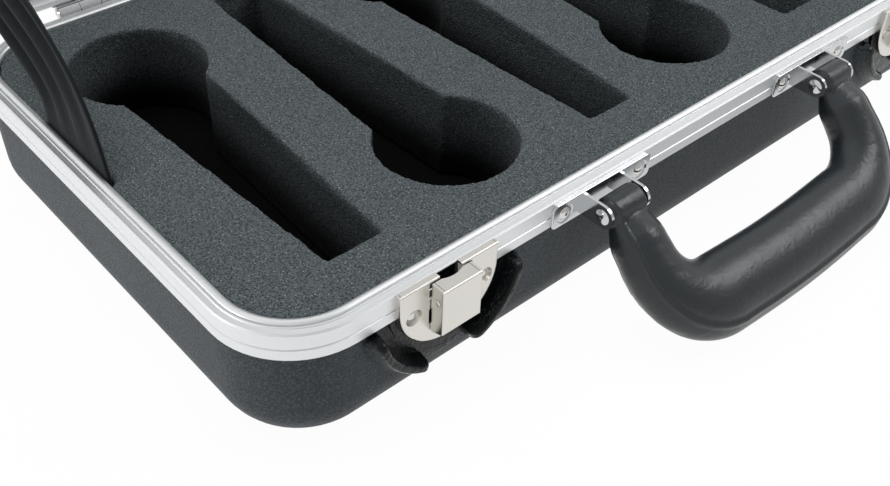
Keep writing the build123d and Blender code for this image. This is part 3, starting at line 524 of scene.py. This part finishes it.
@dataclass(frozen=True)
class MouldedRubber(Finish):
    """Soft PVC over-moulding: dark grey with a broad dull highlight, fine creases and grain."""

    mark_mm: float = 14.0
    mark_relief: tuple[float, float] = (0.5, 0.12)
    crease_mm: float = 3.5
    crease_relief: tuple[float, float] = (0.6, 0.3)
    grain_mm: float = 0.7
    grain_relief: tuple[float, float] = (0.05, 0.4)
    smoothest: float = -0.08
    roughest: float = 0.1

    def make(self) -> Material:
        """Build the rubber; each relief is a depth in millimetres and a strength.

        Returns:
            The material.
        """
        material, tree, shader, place = self.start()
        marks = add_node(tree, "ShaderNodeTexNoise", {
            "Vector": place, "Scale": per_metre(self.mark_mm), "Detail": 3.0, "Distortion": 0.6})
        creases = add_node(tree, "ShaderNodeTexNoise", {
            "Vector": place, "Scale": per_metre(self.crease_mm), "Detail": 4.0, "Distortion": 1.0})
        grain = add_node(tree, "ShaderNodeTexNoise", {
            "Vector": place, "Scale": per_metre(self.grain_mm), "Detail": 4.0})
        roughness = add_node(tree, "ShaderNodeMapRange", {
            "Value": marks.outputs["Fac"], "To Min": self.roughness + self.smoothest,
            "To Max": self.roughness + self.roughest})
        tree.links.new(roughness.outputs["Result"], shader.inputs["Roughness"])
        layers = ((marks, self.mark_relief), (creases, self.crease_relief), (grain, self.grain_relief))
        under: dict[str, Socket] = {}
        for pattern, (depth_mm, strength) in layers:
            relief = add_node(tree, "ShaderNodeBump", {
                "Height": pattern.outputs["Fac"], "Distance": depth_mm * MM, "Strength": strength,
                **under})
            under = {"Normal": relief.outputs["Normal"]}
        tree.links.new(under["Normal"], shader.inputs["Normal"])
        return material


@dataclass(frozen=True)
class WovenBand(Finish):
    """Woven polyester band: matt black, with crossing threads that catch a little light."""

    thread_mm: float = 0.8
    thread_depth_mm: float = 0.15
    thread_strength: float = 0.6
    lint_mm: float = 3.0
    lint_share: float = 0.5
    worn_colour: str = "25292c"
    sheen: float = 0.05

    def make(self) -> Material:
        """Build the weave from two crossing sets of threads.

        Returns:
            The material.
        """
        material, tree, shader, place = self.start()
        uv = add_node(tree, "ShaderNodeUVMap", uv_map="UVMap").outputs["UV"]
        # a wave turns twenty radians per unit, so its bands are 2 pi times thread_mm apart, 5 mm:
        # coarser than real threads, which are too fine to show
        warp, weft = (
            add_node(tree, "ShaderNodeTexWave", {
                "Vector": uv, "Scale": per_metre(self.thread_mm) / 20}, bands_direction=direction)
            for direction in ("X", "Y")
        )
        weave = add_node(tree, "ShaderNodeMath", {
            0: warp.outputs["Fac"], 1: weft.outputs["Fac"]}, operation="MULTIPLY").outputs[0]
        lint = add_node(tree, "ShaderNodeTexNoise", {
            "Vector": place, "Scale": per_metre(self.lint_mm), "Detail": 3.0})
        worn = add_node(tree, "ShaderNodeMapRange", {
            "Value": lint.outputs["Fac"], "To Max": self.lint_share})
        tone = add_node(tree, "ShaderNodeMix", {
            "Factor": worn.outputs["Result"], "A": linear(self.colour),
            "B": linear(self.worn_colour)}, data_type="RGBA")
        tree.links.new(tone.outputs["Result"], shader.inputs["Base Color"])
        relief = add_node(tree, "ShaderNodeBump", {
            "Height": weave, "Distance": self.thread_depth_mm * MM,
            "Strength": self.thread_strength})
        tree.links.new(relief.outputs["Normal"], shader.inputs["Normal"])
        shader.inputs["Sheen Weight"].default_value = self.sheen
        return material


class Surface(Enum):
    """The case's finishes, by what they are on."""

    # near black and dull, so that metal stands out
    SHELL = PebbledPlastic("pebbled_abs", "353c40", 0.5, specular=0.17)
    # the palest thing here, with no sharp reflection
    RIM = DrawnAluminium("anodised_aluminium", "e7e9ea", 0.44, metallic=0.85)
    # grey grain, with painted shade that turns it black down in the drops
    FOAM = OpenCellFoam("polyurethane_foam", "5d6467", 1.0, specular=0.0)
    # warm, softly mirroring sheet
    LATCH = PlatedSteel("nickel_plated_steel", "d9d6d0", 0.3, metallic=1.0)
    # colder and sharper than the latches
    BRACKET = PlatedSteel("zinc_plated_steel", "c9cbcd", 0.15, metallic=1.0)
    # small domes, each with a bright point
    RIVET = PlatedSteel("tumbled_rivet_steel", "d4d2ce", 0.14, metallic=1.0)
    # dark wire and strip, hardly seen
    SPRING = PlatedSteel("drawn_spring_wire", "8a8a88", 0.35, metallic=1.0)
    CORE = PlatedSteel("mild_steel_strip", "77787a", 0.45, metallic=1.0)
    # dark, with one long soft highlight along the bow
    GRIP = MouldedRubber("soft_pvc_moulding", "24292c", 0.32)
    # the darkest cloth, with no gloss
    BAND = WovenBand("woven_polyester", "1b1f21", 0.85, specular=0.12)


class Workshop:
    """Keeps one Blender material for each finish and puts finishes on pieces."""

    def __init__(self) -> None:
        """Build every material once."""
        self.materials = {surface: surface.value.make() for surface in Surface}

    def dress(self, piece: Piece, surface: Surface) -> None:
        """Give a piece one finish all over.

        Args:
            piece: A mesh object.
            surface: The finish to use.
        """
        piece.data.materials.clear()
        piece.data.materials.append(self.materials[surface])

    def dress_nodes(self, names: tuple[str, ...], surface: Surface) -> None:
        """Give nodes of the frame a finish and report each one.

        Args:
            names: Names of the nodes.
            surface: The finish to use.
        """
        for name in names:
            self.dress(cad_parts[name], surface)
            log.info("%s: %s", name, surface.value.name)


# ---- foam ----
@dataclass
class FoamFilling:
    """Foam of the base and the lid: drops with cut lips, a floor layer and the lid's pad."""

    workshop: Workshop
    lip_mm: float = 0.7
    lip_steps: int = 2
    voxel_mm: float = 1.2
    smooth_steps: int = 1
    corner: float = 0.026
    drop_pitch: float = 0.0631
    drop_count: int = 6
    head_radius: float = 0.028
    head_offset: float = 0.05785
    tail_offset: float = 0.0839
    neck_half: float = 0.0175
    tail_half: float = 0.0116
    neck_taper: float = 0.004
    head_steps: int = 40
    corner_steps: int = 12
    notch_y: tuple[float, float] = (-0.0044, 0.0434)
    notch_depth: float = 0.0026
    floor_inset: float = 0.002
    floor_voxel_mm: float = 2.16
    pad_voxel_mm: float = 1.8
    cut_waves: Waves = ((0.0001, 60), (0.0003, 600))
    floor_waves: Waves = ((0.0004, 60),)
    pad_waves: Waves = ((0.0005, 80),)
    layer_fill: float = 0.95
    pad_fill: float = 0.9

    def build(self) -> None:
        """Make and place every foam piece."""
        self.make_insert()
        self.make_floor()
        self.make_lid_pad()

    def drop_outline(self, x: float, turned: bool) -> Outline:
        """Outline of one drop.

        Args:
            x: Middle of the drop.
            turned: Whether its head is at the back.

        Returns:
            Points in order round the hole.
        """
        radius = self.head_radius
        neck_y = -self.head_offset + math.sqrt(radius**2 - self.neck_half**2) + self.neck_taper
        start = math.asin(self.neck_half / radius)
        turn = 2 * math.pi - 2 * start
        points = []
        for step in range(self.head_steps + 1):
            angle = math.pi / 2 + start + turn * step / self.head_steps
            points.append((radius * math.cos(angle), -self.head_offset + radius * math.sin(angle)))
        points += [(self.neck_half, neck_y), (self.tail_half, self.tail_offset)]
        points += [(-self.tail_half, self.tail_offset), (-self.neck_half, neck_y)]
        sign = -1 if turned else 1
        return [(x + sign * px, sign * py) for px, py in points]

    def block_outline(self, half_x: float, half_y: float, notched: bool) -> Outline:
        """Rounded outline of a foam layer.

        Args:
            half_x: Half its length.
            half_y: Half its width.
            notched: Whether its two ends have a notch for the stays.

        Returns:
            Points in order round the layer.
        """
        points: Outline = []
        inner = half_x - self.notch_depth
        low, high = self.notch_y
        notches = {
            1: [(-half_x, high), (-inner, high), (-inner, low), (-half_x, low)],
            3: [(half_x, low), (inner, low), (inner, high), (half_x, high)],
        }
        for quarter, (side_x, side_y) in enumerate(((1, 1), (-1, 1), (-1, -1), (1, -1))):
            centre_x, centre_y = side_x * (half_x - self.corner), side_y * (half_y - self.corner)
            for step in range(self.corner_steps + 1):
                angle = math.radians(90 * quarter + 90 * step / self.corner_steps)
                points.append((centre_x + self.corner * math.cos(angle),
                               centre_y + self.corner * math.sin(angle)))
            if notched:
                points += notches.get(quarter, [])
        return points

    def extruded(self, name: str, outlines: list[Outline], low: float, high: float) -> Piece:
        """Extrude outlines with rounded lips.

        Args:
            name: Name of the piece.
            outlines: The outer outline first, then those of its holes.
            low: Height of the underside.
            high: Height of the top.

        Returns:
            The piece in its place.
        """
        curve = bpy.data.curves.new(name, "CURVE")
        curve.dimensions = "2D"
        curve.fill_mode = "BOTH"
        lip = self.lip_mm * MM
        curve.extrude = (high - low) / 2 - lip
        curve.bevel_depth = lip
        curve.bevel_resolution = self.lip_steps
        curve.offset = -lip
        for outline in outlines:
            spline = curve.splines.new("POLY")
            spline.points.add(len(outline) - 1)
            for point, (x, y) in zip(spline.points, outline):
                point.co = (x, y, 0, 1)
            spline.use_cyclic_u = True
        piece = apply_modifiers(placed(name, curve))
        piece.data.transform(Matrix.Translation((0, 0, (low + high) / 2)))
        return piece

    def finish_piece(self, piece: Piece, body: str, node: str) -> None:
        """Dress a foam piece and put it in place of its plain solid.

        Args:
            piece: The foam.
            body: The body that it rides on.
            node: The node that it replaces.
        """
        self.workshop.dress(piece, Surface.FOAM)
        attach(piece, body)
        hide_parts(node)
        log.info("%s: cut foam in place of %s", piece.name, node)

    def make_insert(self) -> None:
        """Upper layer with the drops, its cut walls a little uneven."""
        low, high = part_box("foam_insert")
        outlines = [self.block_outline(high.x, high.y, True)]
        for index in range(self.drop_count):
            x = (index - (self.drop_count - 1) / 2) * self.drop_pitch
            outlines.append(self.drop_outline(x, index % 2 == 0))
        piece = self.extruded("foam_drops", outlines, low.z, high.z)
        piece = voxel_skin(piece, self.voxel_mm, self.smooth_steps)
        push_along_normals(piece, waviness(self.cut_waves))
        self.finish_piece(piece, "base", "foam_insert")

    def make_floor(self) -> None:
        """Lower layer, which shows as the floor of the drops."""
        low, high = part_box("foam_floor")
        inset = self.floor_inset
        outline = self.block_outline(high.x - inset, high.y - inset, False)
        piece = self.extruded("foam_floor_layer", [outline], low.z + inset, high.z)
        piece = voxel_skin(piece, self.floor_voxel_mm, self.smooth_steps)
        push_along_normals(piece, waviness(self.floor_waves))
        self.finish_piece(piece, "base", "foam_floor")

    def make_lid_pad(self) -> None:
        """Pad of the lid, its face a little uneven."""
        copy = placed("lid_pad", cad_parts["lid_foam"].data.copy())
        piece = voxel_skin(copy, self.pad_voxel_mm, self.smooth_steps)
        push_along_normals(piece, waviness(self.pad_waves))
        self.finish_piece(piece, "lid", "lid_foam")


# ---- handle ----
@dataclass
class HandleGrip:
    """Soft moulded grip: a swelling bow with round knuckles and a parting ridge."""

    workshop: Workshop
    pin: Point = (0.0, -0.1207, 0.0499)
    pin_x: float = 0.0657
    slope: float = math.radians(45)
    reach: float = 0.048
    corner: float = 0.0255
    bow_rise: float = 0.0014
    leg_half: tuple[float, float] = (0.0106, 0.0096)
    bow_half: tuple[float, float] = (0.0162, 0.0118)
    neck_half: tuple[float, float] = (0.0080, 0.0050)
    neck_length: float = 0.0088
    grip_start: float = 0.0036
    knuckle_radius: float = 0.0062
    knuckle_half: float = 0.0087
    knuckle_edge: float = 0.0016
    knuckle_sides: int = 48
    seam_turn: float = 0.78
    seam_height: float = 0.0007
    seam_width: float = 0.07
    groove_share: float = 0.6
    groove_shift: float = 2.0
    crease_depth: float = 0.00011
    crease_density: Point = (90, 260, 260)
    crease_reach: tuple[float, float] = (0.004, 0.022)
    sag: tuple[float, float] = (0.00005, 60)
    ring_steps: int = 144
    leg_steps: int = 8
    bend_steps: int = 24
    bow_steps: int = 12
    voxel_mm: float = 0.6
    smooth_steps: int = 2

    def build(self) -> None:
        """Make the grip and put it in place of its plain solid."""
        piece = mesh_object("soft_grip", *self.swept_skin())
        self.add_knuckles(piece)
        piece.data.transform(Matrix.Translation(self.pin) @ Matrix.Rotation(self.slope, 4, "X"))
        piece = voxel_skin(piece, self.voxel_mm, self.smooth_steps)
        push_along_normals(piece, self.wrinkle)
        self.workshop.dress(piece, Surface.GRIP)
        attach(piece, "handle")
        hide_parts("handle_grip")
        log.info("soft_grip: moulded skin in place of handle_grip")

    def station(self, length: float) -> Station:
        """One place along the left half of the grip.

        Args:
            length: Distance along the grip's middle, from the left pin.

        Returns:
            Its x and y, the turn of the path and the half sizes of the section there.
        """
        leg = self.reach - self.corner
        bend = self.corner * math.pi / 2
        bow = self.pin_x - self.corner
        swell = smooth_step(length, leg / 2, leg + bend)
        neck = min((length - self.grip_start) / self.neck_length, 1.0)
        sizes = [narrow + (wide - narrow) * neck for narrow, wide in zip(self.neck_half, self.leg_half)]
        size = tuple(a + (b - a) * swell for a, b in zip(sizes, self.bow_half))
        if length <= leg:
            return -self.pin_x, -length, 0.0, size
        if length <= leg + bend:
            turn = (length - leg) / self.corner
            x = -self.pin_x + self.corner * (1 - math.cos(turn))
            return x, -leg - self.corner * math.sin(turn), turn, size
        along = (length - leg - bend) / bow
        y = -self.reach - self.bow_rise * math.sin(along * math.pi / 2)
        return -bow * (1 - along), y, math.pi / 2, size

    def stations(self) -> list[Station]:
        """Lay out the whole path of the grip.

        Returns:
            Every station from the left knuckle round to the right one.
        """
        leg = self.reach - self.corner
        bend = self.corner * math.pi / 2
        bow = self.pin_x - self.corner
        lengths = list(np.linspace(self.grip_start, leg, self.leg_steps)[:-1])
        lengths += list(np.linspace(leg, leg + bend, self.bend_steps))
        lengths += list(np.linspace(leg + bend, leg + bend + bow, self.bow_steps)[1:])
        left = [self.station(length) for length in lengths]
        return left + [(-x, y, math.pi - turn, size) for x, y, turn, size in reversed(left[:-1])]

    def swept_skin(self) -> tuple[np.ndarray, list[Face]]:
        """Rings of the grip's section joined along its path.

        Returns:
            Points and faces of a closed skin.
        """
        n = self.ring_steps
        points: list[Point] = []
        for x, y, turn, (across, through) in self.stations():
            for step in range(n):
                angle = 2 * math.pi * step / n
                # the outer side of the bow is where the section's own -X points
                past_seam = (abs(angle - math.pi) - self.seam_turn) / self.seam_width
                ridge = math.exp(-(past_seam**2))
                groove = math.exp(-((past_seam - self.groove_shift) ** 2))
                swell = self.seam_height * (ridge - self.groove_share * groove)
                u = (across + swell) * math.cos(angle)
                w = (through + swell) * math.sin(angle)
                points.append((x + u * math.cos(turn), y + u * math.sin(turn), w))
        rings = len(points) // n
        faces: list[Face] = [
            (r * n + s, r * n + (s + 1) % n, (r + 1) * n + (s + 1) % n, (r + 1) * n + s)
            for r in range(rings - 1) for s in range(n)
        ]
        faces.append(tuple(range(n)))
        faces.append(tuple((rings - 1) * n + s for s in reversed(range(n))))
        return np.array(points), faces

    def add_knuckles(self, piece: Piece) -> None:
        """Add round barrels about the pins.

        Args:
            piece: The grip, which gets one at each end.
        """
        shape = bmesh.new()
        shape.from_mesh(piece.data)
        for side in (-1, 1):
            turn = Matrix.Translation((side * self.pin_x, 0, 0)) @ Matrix.Rotation(math.pi / 2, 4, "Y")
            made = bmesh.ops.create_cone(
                shape, cap_ends=True, segments=self.knuckle_sides, radius1=self.knuckle_radius,
                radius2=self.knuckle_radius, depth=2 * self.knuckle_half, matrix=turn)
            edges = {edge for vertex in made["verts"] for edge in vertex.link_edges}
            # only a barrel's two end edges turn by over a radian
            rims = [edge for edge in edges if len(edge.link_faces) == 2 and edge.calc_face_angle() > 1]
            bmesh.ops.bevel(shape, geom=rims, offset=self.knuckle_edge, segments=3, affect="EDGES")
        bmesh.ops.recalc_face_normals(shape, faces=shape.faces)
        shape.to_mesh(piece.data)
        shape.free()

    def wrinkle(self, point: Vector) -> float:
        """Fine creases on the legs, where the soft skin bends at the bracket.

        Args:
            point: A place on the skin.

        Returns:
            Height there in metres.
        """
        near_leg = 1 - smooth_step(abs(abs(point.x) - self.pin_x), *self.crease_reach)
        wave = noise.noise(point * Vector(self.crease_density))
        depth, density = self.sag
        return self.crease_depth * near_leg * wave + depth * noise.noise(point * density)


# ---- stays ----
@dataclass
class ClothStays:
    """Slack woven bands that stop the lid, each folded lengthwise."""

    workshop: Workshop
    width: float = 0.046
    thickness: float = 0.0011
    x: float = 0.2030
    bulge: float = 0.0026
    narrowing: float = 0.2
    fold_depth: float = 0.0022
    folds: int = 3
    fold_lag: tuple[float, float, float] = (0.6, 3.0, 1.3)
    foot: float = 0.014
    route: tuple[tuple[float, float], ...] = (
        (0.0195, 0.046), (0.0195, 0.061), (0.025, 0.080), (0.0425, 0.093), (0.0695, 0.102),
        (0.0995, 0.121), (0.1205, 0.142), (0.135, 0.1485), (0.1438, 0.1473), (0.1554, 0.1442),
    )
    route_steps: int = 24
    steps_along: int = 120
    steps_across: int = 40

    def build(self) -> None:
        """Make both stays, each a fixed band from the base to the lid."""
        for side, name in ((-1, "left"), (1, "right")):
            piece, length = self.band(side, f"cloth_stay_{name}")
            self.workshop.dress(piece, Surface.BAND)
            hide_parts(f"lid_stay_{name}")
            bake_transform(piece)
            log.info("%s: woven band %.0f mm long", piece.name, length / MM)

    def centre_line(self) -> tuple[np.ndarray, np.ndarray, float]:
        """Smooth the route of a stay.

        Returns:
            Even points along it as y and z, their directions and the whole length.
        """
        curve = bpy.data.curves.new("stay_route", "CURVE")
        curve.dimensions = "3D"
        spline = curve.splines.new("NURBS")
        spline.points.add(len(self.route) - 1)
        for point, (y, z) in zip(spline.points, self.route):
            point.co = (0, y, z, 1)
        spline.order_u = 3
        spline.use_endpoint_u = True
        spline.resolution_u = self.route_steps
        holder = bpy.data.objects.new("stay_route", curve)
        line = bpy.data.meshes.new_from_object(holder)
        dense = np.array([v.co[:] for v in line.vertices])[:, 1:]
        bpy.data.objects.remove(holder)
        bpy.data.curves.remove(curve)
        bpy.data.meshes.remove(line)
        gaps = np.linalg.norm(np.diff(dense, axis=0), axis=1)
        reach = np.concatenate([[0], np.cumsum(gaps)])
        wanted = np.linspace(0, reach[-1], self.steps_along)
        points = np.stack([np.interp(wanted, reach, dense[:, axis]) for axis in (0, 1)], axis=1)
        directions = np.gradient(points, axis=0)
        directions /= np.linalg.norm(directions, axis=1)[:, None]
        return points, directions, float(reach[-1])

    def band(self, side: int, name: str) -> tuple[Piece, float]:
        """One stay as a closed thin skin with a UV grid in metres.

        Args:
            side: -1 for the left end of the case and 1 for the right.
            name: Name of the piece.

        Returns:
            The piece and the length of its cloth.
        """
        line, directions, length = self.centre_line()
        across = np.linspace(-1, 1, self.steps_across)
        lag_size, lag_along, lag_across = self.fold_lag
        points = []
        for index, ((y, z), (dy, dz)) in enumerate(zip(line, directions)):
            reach = length * index / (self.steps_along - 1)
            share = min(max((reach - self.foot) / (length - 2 * self.foot), 0.0), 1.0)
            slack = math.sin(math.pi * share)
            half = self.width / 2 * (1 - self.narrowing * slack)
            for a in across:
                lag = lag_size * math.sin(lag_along * share + lag_across * a)
                fold = self.fold_depth * slack * math.cos(math.pi * self.folds * (a + 1) + lag)
                x = side * (self.x - self.bulge * slack + fold)
                points.append((x, y - dz * a * half, z + dy * a * half))
        n = self.steps_across
        faces = [(r * n + s, r * n + s + 1, (r + 1) * n + s + 1, (r + 1) * n + s)
                 for r in range(self.steps_along - 1) for s in range(n - 1)]
        piece = mesh_object(name, np.array(points), faces)
        layer = piece.data.uv_layers.new(name="UVMap")
        for loop in piece.data.loops:
            row, column = divmod(loop.vertex_index, n)
            layer.data[loop.index].uv = (
                column / (n - 1) * self.width, row / (self.steps_along - 1) * length)
        thicken = piece.modifiers.new("cloth", "SOLIDIFY")
        thicken.thickness = self.thickness
        thicken.offset = 0
        return apply_modifiers(piece), length


# ---- rigid pieces ----
@dataclass
class Hardware:
    """Shells, rims, latches, brackets and hinges, which keep the frame's own meshes."""

    workshop: Workshop

    def build(self) -> None:
        """Give every rigid node its finish."""
        groups = {
            Surface.SHELL: ("base_shell", "lid_shell"),
            Surface.RIM: ("base_rim", "lid_rim"),
            Surface.LATCH: (
                "latch_plate_left", "latch_plate_right", "latch_lever_left", "latch_lever_right",
                "strike_left", "strike_right"),
            Surface.BRACKET: (
                "handle_bracket_left", "handle_bracket_right", "handle_pins", "hinge_leaf_base_left",
                "hinge_leaf_base_right", "hinge_leaf_lid_left", "hinge_leaf_lid_right"),
            Surface.RIVET: (
                "latch_rivets", "bracket_rivets", "hinge_rivets_base", "hinge_rivets_lid",
                "strike_rivets", "rivet_washers_base", "rivet_washers_lid", "latch_pins", "hinge_pins"),
            Surface.SPRING: ("latch_spring_left", "latch_spring_right"),
            Surface.CORE: ("handle_core",),
        }
        for surface, names in groups.items():
            self.workshop.dress_nodes(names, surface)


# ---- studio ----
@dataclass(frozen=True)
class Softbox:
    """A square studio lamp that faces the middle of the case.

    Metal doesn't mirror the one overhead, which would burn out the satin rims.
    """

    name: str
    place: Point
    side: float
    power: float
    mirrored: bool = True
    aim: Point = (0, 0, 0.05)

    def hang(self) -> None:
        """Add the lamp to the scene."""
        light = bpy.data.lights.new(self.name, "AREA")
        light.shape = "SQUARE"
        light.size = self.side
        light.energy = self.power
        lamp = placed(self.name, light)
        lamp.location = self.place
        lamp.visible_glossy = self.mirrored
        way = Vector(self.aim) - Vector(self.place)
        lamp.rotation_euler = way.to_track_quat("-Z", "Y").to_euler()


@dataclass
class Studio:
    """Pale floor, soft lights and the photograph's camera."""

    camera_place: Point = (-0.3180, -0.2993, 0.2985)
    camera_turn: Point = (0.8423, -0.0277, -0.7250)
    lens_mm: float = 43.996
    sensor_mm: float = 36.0
    softboxes: tuple[Softbox, ...] = (
        Softbox("top_softbox", (-0.25, 0.25, 1.5), 1.2, 18.5, mirrored=False),
        Softbox("right_softbox", (1.1, -0.7, 1.3), 0.8, 10.0),
        Softbox("left_softbox", (-1.3, 0.35, 0.13), 0.3, 4.0),
    )
    floor_half: float = 6.0
    floor_colour: str = "f4f4f4"
    world_strength: float = 0.15
    floor_seen: float = 0.97
    floor_mirrored: float = 1.0
    dim_way: Point = (0.2, -0.9, 0.35)
    dim_range: tuple[float, float] = (0.1, 0.8)
    sky_mirrored: float = 0.88
    dim_strength: float = 0.55

    def build(self) -> None:
        """Make the floor, the world, the lamps and the camera."""
        self.make_floor()
        self.make_world()
        for softbox in self.softboxes:
            softbox.hang()
        self.make_camera()
        bpy.context.scene.view_settings.view_transform = "Standard"

    def make_floor(self) -> None:
        """White floor that keeps a soft shadow and shows plain white to the eye and to metal."""
        half = self.floor_half
        corners = np.array([(-half, -half, 0), (half, -half, 0), (half, half, 0), (-half, half, 0)])
        floor = mesh_object("studio_floor", corners, [(0, 1, 2, 3)])
        material = bpy.data.materials.new("studio_paper")
        material.use_nodes = True
        tree = material.node_tree
        tree.nodes.clear()
        paper = add_node(tree, "ShaderNodeBsdfDiffuse", {"Color": linear(self.floor_colour)})
        white = add_node(tree, "ShaderNodeEmission")
        path = add_node(tree, "ShaderNodeLightPath")
        mirrored = add_node(tree, "ShaderNodeMath", {
            0: path.outputs["Is Glossy Ray"], 1: self.floor_mirrored}, operation="MULTIPLY")
        share = add_node(tree, "ShaderNodeMath", {
            0: path.outputs["Is Camera Ray"], 1: self.floor_seen, 2: mirrored.outputs[0]},
            operation="MULTIPLY_ADD")
        mixed = add_node(tree, "ShaderNodeMixShader", {
            0: share.outputs[0], 1: paper.outputs[0], 2: white.outputs[0]})
        add_node(tree, "ShaderNodeOutputMaterial", {"Surface": mixed.outputs[0]})
        floor.data.materials.append(material)

    def make_world(self) -> None:
        """Pale surroundings, plain white to the eye, and dim in front where metal mirrors the room."""
        world = bpy.data.worlds.new("studio_air")
        bpy.context.scene.world = world
        world.use_nodes = True
        tree = world.node_tree
        tree.nodes.clear()
        path = add_node(tree, "ShaderNodeLightPath")
        way = add_node(tree, "ShaderNodeTexCoord").outputs["Generated"]
        facing = add_node(tree, "ShaderNodeVectorMath", {0: way, 1: self.dim_way},
                          operation="DOT_PRODUCT")
        mirrored = add_node(tree, "ShaderNodeMapRange", {
            "Value": facing.outputs["Value"], "From Min": self.dim_range[0],
            "From Max": self.dim_range[1], "To Min": self.sky_mirrored, "To Max": self.dim_strength})
        lit = add_node(tree, "ShaderNodeMix", {
            "Factor": path.outputs["Is Glossy Ray"], "A": self.world_strength,
            "B": mirrored.outputs["Result"]})
        strength = add_node(tree, "ShaderNodeMix", {
            "Factor": path.outputs["Is Camera Ray"], "A": lit.outputs["Result"], "B": 1.0})
        light = add_node(tree, "ShaderNodeBackground", {
            "Color": (1, 1, 1, 1), "Strength": strength.outputs["Result"]})
        add_node(tree, "ShaderNodeOutputWorld", {"Surface": light.outputs[0]})

    def make_camera(self) -> None:
        """Camera fitted to the photograph's perspective."""
        data = bpy.data.cameras.new("photo_camera")
        data.lens = self.lens_mm
        data.sensor_width = self.sensor_mm
        camera = placed("photo_camera", data)
        camera.location = self.camera_place
        camera.rotation_euler = self.camera_turn
        bpy.context.scene.camera = camera


def main() -> None:
    """Build the studio and every part of the case's looks."""
    workshop = Workshop()
    Studio().build()
    Hardware(workshop).build()
    FoamFilling(workshop).build()
    HandleGrip(workshop).build()
    ClothStays(workshop).build()


if __name__ == "__main__":
    main()
